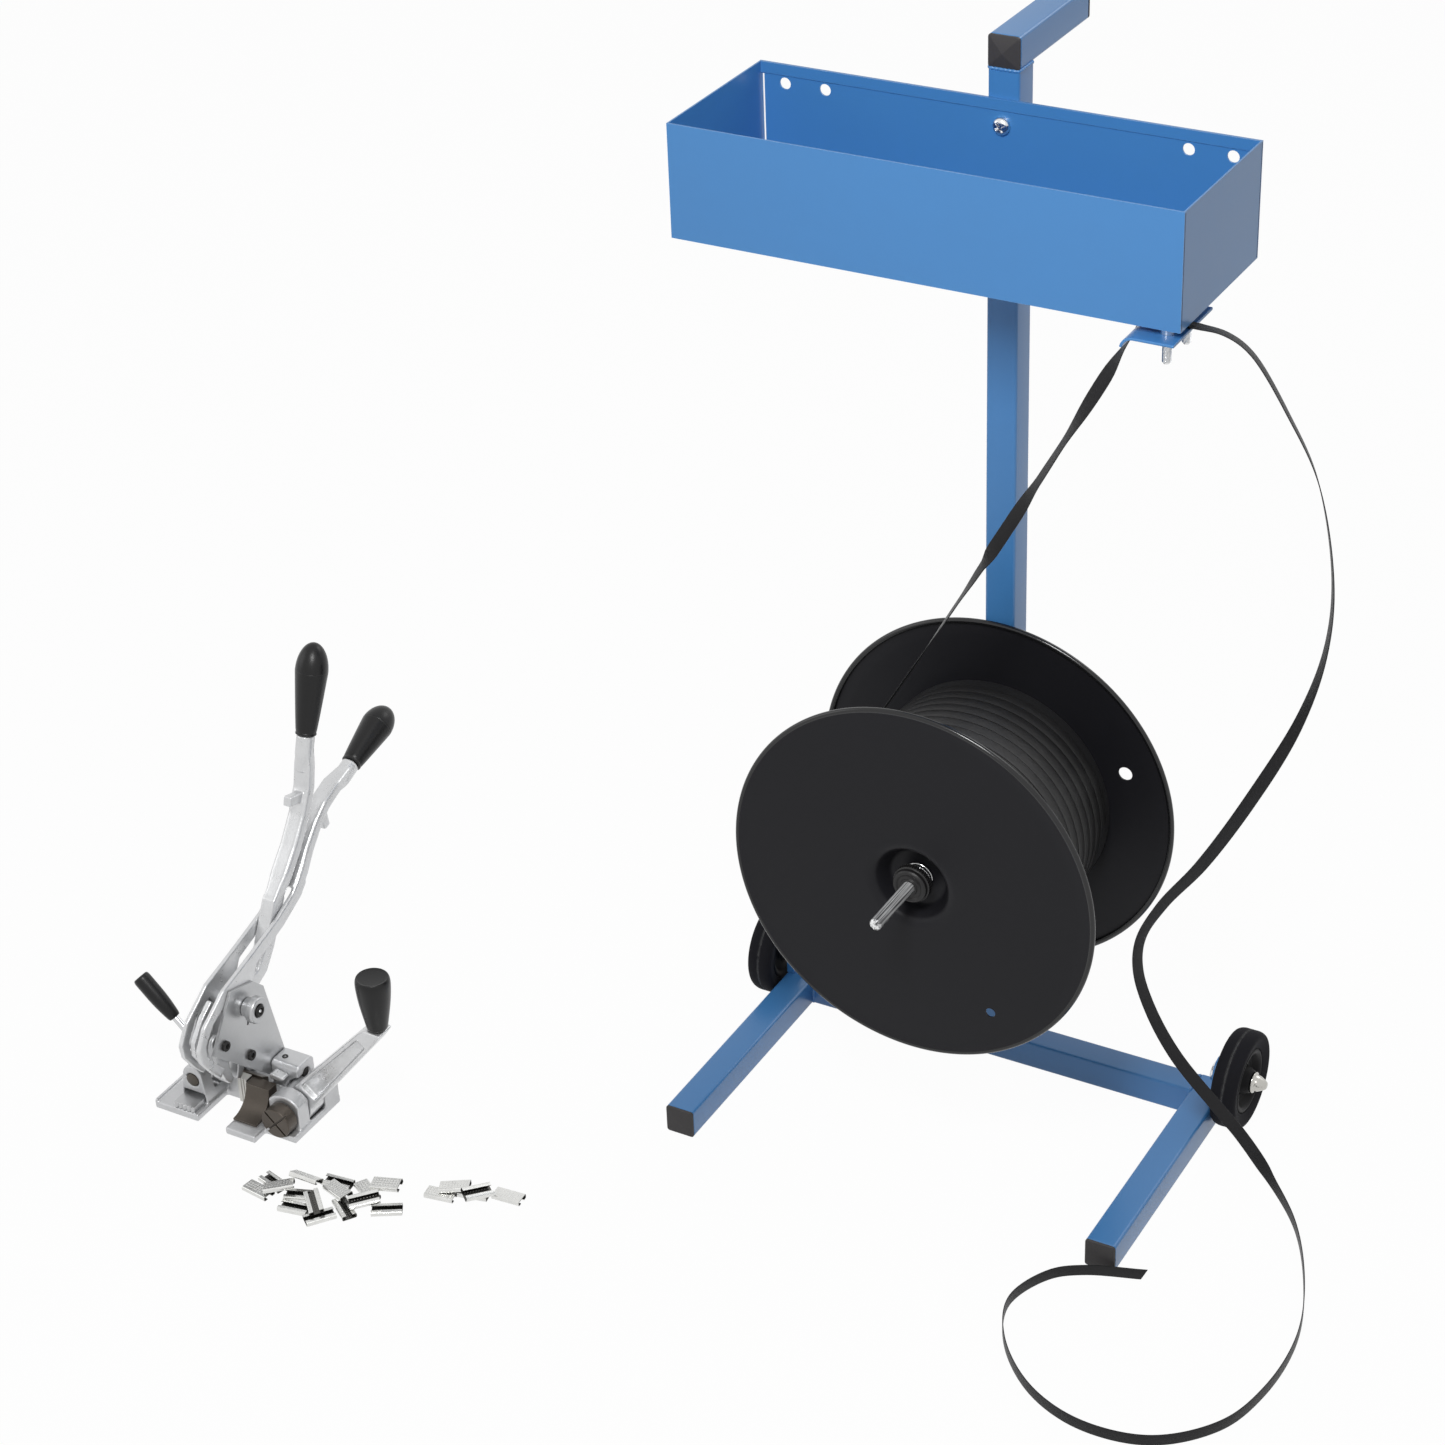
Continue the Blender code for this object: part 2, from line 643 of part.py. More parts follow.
# Reel: axle, two flanges, the core drum, the roll and its outer layer of strap, brake spring and collar
def build_reel():
    axle = REEL_AXLE / 2
    shoulder = AXLE_SHOULDER / 2
    tip = COLLAR_FRONT - AXLE_OUT
    profile = [
        (0, HALF_TUBE + GAP + AXLE_HEAD_THICK),
        (shoulder * 0.8, HALF_TUBE + GAP + AXLE_HEAD_THICK),
        (shoulder, HALF_TUBE + GAP),
        (axle, HALF_TUBE + GAP),
        (axle, -HALF_TUBE - GAP),
        (shoulder, -HALF_TUBE - GAP),
        (shoulder, REEL_BACK + GAP),
        (axle, REEL_BACK + GAP),
        (axle, tip + axle * 0.5),
        (axle * 0.6, tip),
        (0, tip),
    ]
    piece("reel_axle", turned("y", REEL_AXIS, profile), CHROME)

    middle = (REEL_FRONT + REEL_BACK) / 2
    turn = joint_empty("reel_axis", (0, middle, REEL_HEIGHT))
    front = turned("y", REEL_AXIS, flange_profile(REEL_FRONT, 1, True), FLANGE_ROUND, True)
    front = piece("front_flange", front, BLACK_STEEL, turn)
    rear = turned("y", REEL_AXIS, flange_profile(REEL_BACK, -1, False), FLANGE_ROUND, True)
    rear = piece("rear_flange", rear, BLACK_STEEL, turn)
    drilled = ((front, REEL_FRONT, FLANGE_HOLE * 0.7, 305), (rear, REEL_BACK, FLANGE_HOLE, 22))
    for flange, face, width, angle in drilled:
        u = FLANGE_HOLE_RADIUS * math.cos(math.radians(angle))
        v = REEL_HEIGHT + FLANGE_HOLE_RADIUS * math.sin(math.radians(angle))
        combine(flange, rod("y", (u, v), width / 2, face - 2 * SHEET, face + 2 * SHEET, 16))

    low = REEL_FRONT + SHEET + GAP
    high = REEL_BACK - SHEET - GAP
    cup = CUP_BOTTOM + GAP
    hub = CORE_HUB / 2
    bore = axle + GAP
    drum = CORE / 2 - GAP
    core = [
        (bore, cup),
        (hub, cup),
        (hub, middle - CORE_WALL / 2),
        (drum - CORE_WALL, middle - CORE_WALL / 2),
        (drum - CORE_WALL, low),
        (drum, low),
        (drum, high),
        (drum - CORE_WALL, high),
        (drum - CORE_WALL, middle + CORE_WALL / 2),
        (hub, middle + CORE_WALL / 2),
        (hub, high),
        (bore, high),
    ]
    piece("reel_core", turned("y", REEL_AXIS, core, LOOP_POINTS, True), BOARD, turn)
    roll = [(CORE / 2, low), (ROLL_OUTSIDE, low), (ROLL_OUTSIDE, high), (CORE / 2, high)]
    piece("strap_roll", turned("y", REEL_AXIS, roll, LOOP_POINTS, True), STRAP_BLACK, turn)

    path = winding_path()
    print("winding turns", TURNS, "least gap to itself, mm:", round(winding_gap(path) * 1000, 3))
    shape = ribbon(path, [Vector((0, 1, 0))] * len(path), STRAP, STRAP_THICK)
    piece("strap_winding", shape, STRAP_BLACK, turn)

    wire = SPRING_WIRE / 2
    first = CUP_BOTTOM - SHEET - GAP - wire
    last = COLLAR_BACK + GAP + wire
    count = int(SPRING_TURNS * 10)
    coil = []
    for k in range(count + 1):
        angle = 2 * math.pi * SPRING_TURNS * k / count
        reach = SPRING / 2 - wire
        y = first + (last - first) * k / count
        coil.append(Vector((reach * math.cos(angle), y, REEL_HEIGHT + reach * math.sin(angle))))
    pitch = (first - last) / SPRING_TURNS
    print("spring least gap to itself, mm:", round((pitch - SPRING_WIRE) * 1000, 3))
    piece("brake_spring", tube_along(coil, wire, 6, Vector((0, 1, 0))), CHROME)

    knob = joint_empty("brake_axis", (0, COLLAR_FRONT, REEL_HEIGHT))
    reach = COLLAR / 2
    collar = [
        (bore, COLLAR_BACK),
        (reach, COLLAR_BACK),
        (reach, COLLAR_BACK - COLLAR_LENGTH * 0.5),
        (reach * 0.93, COLLAR_BACK - COLLAR_LENGTH * 0.55),
        (reach * 0.9, COLLAR_FRONT + COLLAR_LENGTH * 0.15),
        (reach * 0.75, COLLAR_FRONT),
        (bore, COLLAR_FRONT),
    ]

    def knurl(angle, radius, along):
        """Shallow teeth on the collar's rear half."""
        if radius < reach:
            return 1.0
        return 0.97 + 0.03 * math.cos(COLLAR_TEETH * angle)

    shape = turned("y", REEL_AXIS, collar, 2 * COLLAR_TEETH, True, knurl)
    piece("brake_collar", shape, PLASTIC, knob)


def winding_path():
    """The outer layer of strap: one helix from the rear flange to the front one."""
    start = (WIND_FRONT + WIND_BACK) / 2 + TURNS * WIND_PITCH / 2
    count = TURNS * LOOP_POINTS
    path = []
    for k in range(count + 1):
        angle = 2 * math.pi * k / LOOP_POINTS
        y = start - WIND_PITCH * k / LOOP_POINTS
        u = WIND_MIDDLE * math.cos(angle)
        path.append(Vector((u, y, REEL_HEIGHT + WIND_MIDDLE * math.sin(angle))))
    return path


def winding_gap(path):
    """The least distance between the edges of neighbouring loops, on the path's points."""
    steps = [abs(b.y - a.y) for a, b in zip(path, path[LOOP_POINTS:])]
    return min(steps) - STRAP


STRAP_LIFT = GUIDE_TOP + GAP + STRAP_THICK / 2
STRAP_EXIT = Vector((GUIDE_RIGHT + GUIDE_OVERHANG, STRAP_Y, STRAP_LIFT))
# The free tail, end to end as it hangs and lies: a point and the direction of the strap's width there
TAIL = [
    ((0.263, -0.150, 0.910), (0.0, 1.0, 0.0)),
    ((0.285, -0.150, 0.898), (-0.1, 1.0, 0.0)),
    ((0.321, -0.148, 0.845), (-0.3, 0.95, 0.0)),
    ((0.347, -0.146, 0.793), (-0.45, 0.88, 0.0)),
    ((0.364, -0.142, 0.702), (-0.49, 0.87, 0.0)),
    ((0.361, -0.139, 0.632), (-0.55, 0.82, 0.05)),
    ((0.341, -0.136, 0.556), (-0.72, 0.55, 0.2)),
    ((0.298, -0.130, 0.459), (-0.85, -0.05, 0.4)),
    ((0.253, -0.125, 0.374), (-0.8, -0.35, 0.45)),
    ((0.215, -0.121, 0.316), (-0.65, -0.6, 0.4)),
    ((0.194, -0.118, 0.270), (-0.5, -0.8, 0.2)),
    ((0.192, -0.116, 0.233), (-0.45, -0.88, 0.0)),
    ((0.205, -0.113, 0.189), (-0.45, -0.85, -0.2)),
    ((0.230, -0.108, 0.141), (-0.47, -0.75, -0.45)),
    ((0.270, -0.102, 0.092), (-0.48, -0.67, -0.57)),
    ((0.295, -0.100, 0.065), (-0.4, -0.45, -0.8)),
    ((0.323, -0.093, 0.020), (-0.15, -0.15, -1.0)),
    ((0.366, -0.135, 0.0075), (0.0, 0.0, -1.0)),
    ((0.406, -0.215, 0.0064), (0.0, 0.0, -1.0)),
    ((0.425, -0.285, 0.0064), (0.0, 0.0, -1.0)),
    ((0.424, -0.358, 0.0064), (0.0, 0.0, -1.0)),
    ((0.406, -0.417, 0.0064), (0.0, 0.0, -1.0)),
    ((0.359, -0.462, 0.0064), (0.0, 0.0, -1.0)),
    ((0.297, -0.472, 0.0064), (0.0, 0.0, -1.0)),
    ((0.240, -0.452, 0.0064), (0.0, 0.0, -1.0)),
    ((0.191, -0.403, 0.0064), (0.0, 0.0, -1.0)),
    ((0.172, -0.351, 0.0064), (0.0, 0.0, -1.0)),
    ((0.190, -0.302, 0.0064), (0.0, 0.0, -1.0)),
    ((0.216, -0.282, 0.0064), (0.0, 0.0, -1.0)),
    ((0.268, -0.263, 0.0064), (0.0, 0.0, -1.0)),
]
TAIL_POINTS = 64


# Strap: the taut feed from the roll over the guide, and the free tail from the guide to the floor
def build_strap():
    lip = Vector((GUIDE_RIGHT - GUIDE_LENGTH, STRAP_Y, GUIDE_TOP - GUIDE_LIP))
    bend = GUIDE_LIP + GAP + STRAP_THICK / 2
    reach = WIND_OUTSIDE + GAP + STRAP_THICK / 2
    across = lip.x
    rise = lip.z - REEL_HEIGHT
    # The straight run touches the roll and the lip on the same side, so their radii differ along its normal
    angle = math.atan2(rise, across) + math.acos((reach - bend) / math.hypot(across, rise))
    normal = Vector((math.cos(angle), 0, math.sin(angle)))
    leave = Vector((0, STRAP_Y, REEL_HEIGHT)) + normal * reach
    meet = lip + normal * bend
    sag = -normal * FEED_SAG
    run = [leave.lerp(meet, k / 8) + sag * 4 * (k / 8) * (1 - k / 8) for k in range(9)]
    turn = math.degrees(angle)
    over = [Vector((u, STRAP_Y, v)) for u, v in arc((lip.x, lip.z), bend, turn, 90, 5)]
    path = [*run, *over[1:], STRAP_EXIT]
    piece("strap_feed", ribbon(path, [Vector((0, 1, 0))] * len(path), STRAP, STRAP_THICK), STRAP_BLACK)

    start = STRAP_EXIT + Vector((GAP, 0, 0))
    route = [(*start, 0.0, 1.0, 0.0), *((*place, *width) for place, width in TAIL)]
    rows = smooth_curve(route, TAIL_POINTS)
    path = [Vector(row[:3]) for row in rows]
    across = [Vector(row[3:]) for row in rows]
    piece("strap_tail", ribbon(path, across, STRAP, STRAP_THICK), STRAP_BLACK)
    print("strap tail length, m:", round(float(lengths(rows).sum()), 3))


# Hand tool: sizes in its own frame, x along the strap, y to the rear, z up from the floor
TOOL = Vector((-0.558, -0.453, 0.0))
CASTING = colour("cast aluminium", (0.62, 0.63, 0.64), 0.35, 0.9)
PLATE_STEEL = colour("brushed plate", (0.58, 0.59, 0.60), 0.3, 1.0)
FORGED = colour("forged lever", (0.66, 0.67, 0.68), 0.3, 1.0)
BRONZE = colour("dark bronze steel", (0.10, 0.085, 0.07), 0.4, 0.9)
BLACK_SCREW = colour("black screw", (0.02, 0.02, 0.02), 0.45, 0.5)

FOOT = 0.008
FOOT_FRONT = -0.018
FOOT_LEFT = -0.163
FOOT_LEFT_END = -0.109
FOOT_RIM = 0.003
NOTCH_RIGHT = -0.073
NOTCH_BACK = 0.035
BASE_BACK = 0.078
BEAM = 0.025
MID_FOOT_RIGHT = -0.037
CHEEK_FRONT = 0.012
CHEEK = 0.018
LEVER_SLOT = 0.024
CHEEK_TOP = 0.023
REAR_CHEEK = 0.022

WINDLASS_X = -0.020
WINDLASS_Z = 0.021
WINDLASS = 0.033
WINDLASS_FRONT = -0.004
WINDLASS_SHAFT = 0.018
WINDLASS_SLOT = 0.003
TENSION_HUB = 0.039
TENSION_REACH = 0.160
TENSION_ANGLE = 49.3
TENSION_WIDE = 0.028
TENSION_NARROW = 0.019
TENSION_RIM = 0.004
TENSION_POCKET = 0.007
KNOB_HEIGHT = 0.061
KNOB_FOOT = 0.020
KNOB_TOP = 0.035
STUD = 0.010
STUD_LENGTH = 0.024
PAWL_WIDE = 0.010
PAWL_THICK = 0.008

TOWER_FRONT = 0.005
TOWER_BACK = 0.045
TOWER_SLOT = 0.018
TOWER_WALL = 0.016
TOWER_TOP = 0.049
GRIPPER_X = -0.127
GRIPPER_Z = 0.033
GRIPPER_PIN = 0.0146
GRIPPER_HUB = 0.024
GRIPPER_ROD = 0.0075
GRIPPER_ROD_LENGTH = 0.055
GRIPPER_GRIP = 0.054
GRIPPER_GRIP_END = 0.018
GRIPPER_GRIP_START = 0.014
GRIPPER_PLATE = 0.006
GRIPPER_PLATE_WIDE = 0.025
GRIPPER_TEETH = 5
GRIPPER_LIFT = 0.004

HEAD_X = -0.0745
HEAD_INSIDE = 0.0266
HEAD_PLATE = 0.003
HINGE_Y = 0.060
HINGE_Z = 0.040
HINGE_PIN = 0.010
KNUCKLE = 0.014
EAR_LEFT = -0.107
EAR_RIGHT = -0.025
EAR_CHAMFER = 0.004
MAIN_Y = 0.021
MAIN_Z = 0.136
MAIN_PIN = 0.012
ROLLER = 0.028
ROLLER_OUT = 0.018
JAW_PIN = 0.008
JAW_HEAD = 0.011
UPPER_Y = -0.018
UPPER_Z = 0.114
LOWER_Y = 0.018
LOWER_Z = 0.079
PRONG = 0.005
LAYER_GAP = 0.0004
LEVER_THICK = 0.013
LEVER_HUB = 0.026
GRIP_FOOT = 0.020
GRIP_TOP = 0.033
ANVIL_TOP = 0.036
POST_WIDE = 0.011
POST_DEEP = 0.0105

SEAL_LENGTH = 0.030
SEAL_WIDTH = 0.015
SEAL_HEIGHT = 0.005
SEAL_SHEET = 0.0009
SEAL_LIP = 0.004


def at_tool(shape):
    """Move a shape from the tool's frame to its place on the floor."""
    bmesh.ops.translate(shape, vec=TOOL, verts=shape.verts[:])
    return shape


def tool_piece(name, shape, material, parent=None):
    return piece(name, at_tool(shape), material, parent)


def tool_combine(target, shape, operation="DIFFERENCE"):
    combine(target, at_tool(shape), operation)


def bar(start, end, radii, steps=16):
    """A straight round bar between two points, with radii at equal steps along it."""
    start = Vector(start)
    along = Vector(end) - start
    side = along.orthogonal().normalized()
    up = along.normalized().cross(side)
    angles = [2 * math.pi * k / steps for k in range(steps)]
    rings = []
    for k, radius in enumerate(radii):
        place = start + along * k / (len(radii) - 1)
        rings.append([place + radius * (side * math.cos(a) + up * math.sin(a)) for a in angles])
    return loft(rings)


def turned_on(start, along, profile, steps=ROUND):
    """A grip turned about the line from start along a direction; profile has radii and places on it."""
    side = along.orthogonal().normalized()
    up = along.cross(side)
    angles = [2 * math.pi * k / steps for k in range(steps)]
    rings = []
    for radius, t in profile:
        rings.append([start + along * t + radius * (side * math.cos(a) + up * math.sin(a)) for a in angles])
    return loft(rings)


def pear(start, end, bore, depth, foot, top):
    """A hollow grip that swells from its foot to a round end, with a blind bore for the lever's stud."""
    along = end - start
    length = along.length
    r = top / 2
    profile = [(bore, depth), (bore, 0.0), (foot / 2 * 0.92, 0.0), (foot / 2, length * 0.04)]
    profile += [(foot / 2 + (r - foot / 2) * math.sin(math.pi / 2 * t), length * (0.04 + 0.62 * t))
                for t in (0.35, 0.7, 1.0)]
    profile += [(r * math.cos(math.radians(a)), length * (0.66 + 0.34 * math.sin(math.radians(a))))
                for a in (25, 50, 72)]
    return turned_on(start, along.normalized(), profile)


def lever_loft(path, wide, thick):
    """A lever's arm in the plane square to x: path of (y, z), with widths along x and thickness across it."""
    rings = []
    last = len(path) - 1
    for k, (y, z) in enumerate(path):
        ahead = Vector(path[min(k + 1, last)]) - Vector(path[max(k - 1, 0)])
        ahead.normalize()
        n = Vector((-ahead.y, ahead.x)) * thick[k] / 2
        w = wide[k] / 2
        c = 0.25
        ring = []
        for across, out in ((-1, -1 + c), (-1, 1 - c), (-1 + c, 1), (1 - c, 1),
                            (1, 1 - c), (1, -1 + c), (1 - c, -1), (-1 + c, -1)):
            ring.append(Vector((HEAD_X + w * across, y + n.x * out, z + n.y * out)))
        rings.append(ring)
    return loft(rings)


def build_tool_base():
    """The casting: feet, rear beam, hinge ears, gripper tower and windlass cheeks, joined as one."""
    low = CHEEK_FRONT
    plate = [
        (FOOT_LEFT, FOOT_FRONT + FOOT_RIM),
        (FOOT_LEFT_END, FOOT_FRONT + FOOT_RIM),
        (FOOT_LEFT_END, NOTCH_BACK),
        (NOTCH_RIGHT, NOTCH_BACK),
        (NOTCH_RIGHT, FOOT_FRONT),
        (MID_FOOT_RIGHT, FOOT_FRONT),
        (MID_FOOT_RIGHT, 0.0),
        (0.0, 0.0),
        (0.0, BASE_BACK),
        (EAR_LEFT, BASE_BACK),
        (EAR_LEFT, TOWER_BACK),
        (FOOT_LEFT, TOWER_BACK),
    ]
    base = tool_piece("tool_base", prism("z", plate, 0.0, FOOT), CASTING)
    over = FOOT - FOOT_RIM
    beam = block((EAR_LEFT, NOTCH_BACK + GAP, over), (MID_FOOT_RIGHT, BASE_BACK - GAP, BEAM))
    tool_combine(base, beam, "UNION")
    r = KNUCKLE
    foot = [(HINGE_Y - r, over), (HINGE_Y + r, over)]
    ear = [*foot, *arc((HINGE_Y, HINGE_Z), r, 0, 180, 8)]
    tool_combine(base, prism("x", ear, EAR_LEFT, EAR_INNER_LEFT), "UNION")
    top = HINGE_Z + r
    ear = [*foot, (HINGE_Y + r, top - EAR_CHAMFER), (HINGE_Y + r - EAR_CHAMFER, top),
           (HINGE_Y - r + EAR_CHAMFER, top), (HINGE_Y - r, top - EAR_CHAMFER)]
    tool_combine(base, prism("x", ear, EAR_INNER_RIGHT, EAR_RIGHT), "UNION")
    reach = WINDLASS_SHAFT
    cheek = [(WINDLASS_X - reach, over), (WINDLASS_X + reach, over),
             *arc((WINDLASS_X, WINDLASS_Z), CHEEK_TOP, 38, 142, 8)]
    tool_combine(base, prism("y", cheek, low, low + CHEEK), "UNION")
    rear = low + CHEEK + LEVER_SLOT
    cheek = block((MID_FOOT_RIGHT + GAP, rear, over), (-GAP, BASE_BACK - GAP, REAR_CHEEK + FOOT))
    tool_combine(base, cheek, "UNION")
    half = GRIPPER_PLATE_WIDE / 2
    tower = [
        (GRIPPER_X - half - FOOT / 2, over),
        (GRIPPER_X + half + FOOT / 2, over),
        *arc((GRIPPER_X, TOWER_TOP - GRIPPER_HUB / 2), GRIPPER_HUB / 2, 15, 165, 8),
    ]
    tool_combine(base, prism("y", tower, TOWER_FRONT, TOWER_BACK - GAP), "UNION")
    rim = block((FOOT_LEFT + GAP, FOOT_FRONT + FOOT_RIM + GAP, over),
                (FOOT_LEFT + FOOT_RIM, TOWER_BACK - 2 * GAP, FOOT + FOOT_RIM))
    tool_combine(base, rim, "UNION")
    # Room for the gripper's lever, its plate, the windlass, the tension lever's hub and the pins
    slot = TOWER_FRONT + TOWER_WALL
    tool_combine(base, block((GRIPPER_X - half - FOOT, slot, FOOT + GRIPPER_PLATE + GRIPPER_LIFT),
                             (GRIPPER_X + half + FOOT, slot + TOWER_SLOT, TOWER_TOP + FOOT)))
    ceiling = FOOT + GRIPPER_PLATE + GRIPPER_LIFT + 3 * GAP
    window = block((GRIPPER_X - half - 2 * GAP, FOOT_FRONT, FOOT),
                   (GRIPPER_X + half + 2 * GAP, slot + TOWER_SLOT, ceiling))
    tool_combine(base, window)
    drum = WINDLASS / 2 + 3 * GAP
    shaft = WINDLASS_SHAFT / 2 + GAP
    hub = TENSION_HUB / 2 + 6 * GAP
    room = [(0, FOOT_FRONT - FOOT), (drum, FOOT_FRONT - FOOT), (drum, low + GAP), (shaft, low + GAP),
            (shaft, low + CHEEK - GAP), (hub, low + CHEEK - GAP), (hub, rear + GAP), (shaft, rear + GAP),
            (shaft, BASE_BACK + FOOT), (0, BASE_BACK + FOOT)]
    tool_combine(base, turned("y", (WINDLASS_X, WINDLASS_Z), room))
    pin = GRIPPER_PIN / 2 + GAP
    tool_combine(base, rod("y", (GRIPPER_X, GRIPPER_Z), pin, TOWER_FRONT - FOOT, TOWER_BACK + FOOT))
    pin = HINGE_PIN / 2 + GAP
    tool_combine(base, rod("x", (HINGE_Y, HINGE_Z), pin, EAR_LEFT - FOOT, EAR_RIGHT + FOOT))


HEAD_LEFT = HEAD_X - HEAD_INSIDE / 2
HEAD_RIGHT = HEAD_X + HEAD_INSIDE / 2
EAR_INNER_LEFT = HEAD_LEFT - HEAD_PLATE - 2 * GAP
EAR_INNER_RIGHT = HEAD_RIGHT + HEAD_PLATE + 2 * GAP


def build_gripper():
    """The gripper: a pin in the tower, a lever with a rod and grip, and a toothed plate that it lifts."""
    axis = (GRIPPER_X, GRIPPER_Z)
    pin = GRIPPER_PIN / 2
    profile = [(0, TOWER_FRONT - 2 * GAP), (pin * 0.8, TOWER_FRONT - 2 * GAP), (pin, TOWER_FRONT + 2 * GAP),
               (pin, TOWER_BACK - GAP), (0, TOWER_BACK - GAP)]
    tool_piece("gripper_pin", turned("y", axis, profile), BLACK_SCREW)
    middle = TOWER_FRONT + TOWER_WALL + TOWER_SLOT / 2
    turn = joint_empty("gripper_axis", TOOL + Vector((GRIPPER_X, middle, GRIPPER_Z)))
    half = TOWER_SLOT / 2 - GAP
    hub = GRIPPER_HUB / 2
    start = Vector((GRIPPER_X + hub * 0.5, middle, GRIPPER_Z + hub))
    aim = Vector((-1, 0, 1)).normalized()
    outline = [*arc(axis, hub, 150, 370, 10), (start.x + hub * 0.5, start.z + hub * 0.1),
               (start.x, start.z + hub * 0.6), (start.x - hub * 0.6, start.z + hub * 0.5)]
    lever = prism("y", outline, middle - half, middle + half, [circle(axis, pin + GAP)])
    lever = tool_piece("gripper_lever", lever, CHROME, turn)
    end = start + aim * GRIPPER_ROD_LENGTH
    stud = end + aim * STUD_LENGTH
    tool_combine(lever, bar(start, stud, (GRIPPER_ROD / 2, GRIPPER_ROD / 2)), "UNION")
    grip = end + aim * GRIPPER_GRIP
    shape = gripper_grip(end, grip)
    tool_piece("gripper_grip", shape, PLASTIC, turn)

    wide = GRIPPER_PLATE_WIDE / 2
    low = FOOT + GAP
    top = low + GRIPPER_PLATE
    front = FOOT_FRONT + 2 * FOOT_RIM
    back = TOWER_FRONT + TOWER_WALL + TOWER_SLOT / 2
    tooth = 2 * wide / GRIPPER_TEETH
    edge = [(GRIPPER_X + wide, back), (GRIPPER_X - wide, back)]
    for k in range(GRIPPER_TEETH):
        left = GRIPPER_X - wide + k * tooth
        edge += [(left, front), (left + tooth / 2, front - FOOT_RIM * 0.8)]
    edge.append((GRIPPER_X + wide, front))
    lift = joint_empty("gripper_plate_slide", TOOL + Vector((GRIPPER_X, front, low)))
    tool_piece("gripper_plate", prism("z", edge, low, top), PLATE_STEEL, lift)


def gripper_grip(start, end):
    """A plastic grip with a blind bore, tapered at its foot and flat at its end."""
    along = end - start
    length = along.length
    bore = GRIPPER_ROD / 2 + GAP
    foot = GRIPPER_GRIP_START / 2
    r = GRIPPER_GRIP_END / 2
    profile = [(bore, STUD_LENGTH + GAP), (bore, 0.0), (foot * 0.85, 0.0), (foot, length * 0.05),
               (r * 0.92, length * 0.3), (r, length * 0.5), (r, length * 0.95), (r * 0.88, length)]
    return turned_on(start, along.normalized(), profile)


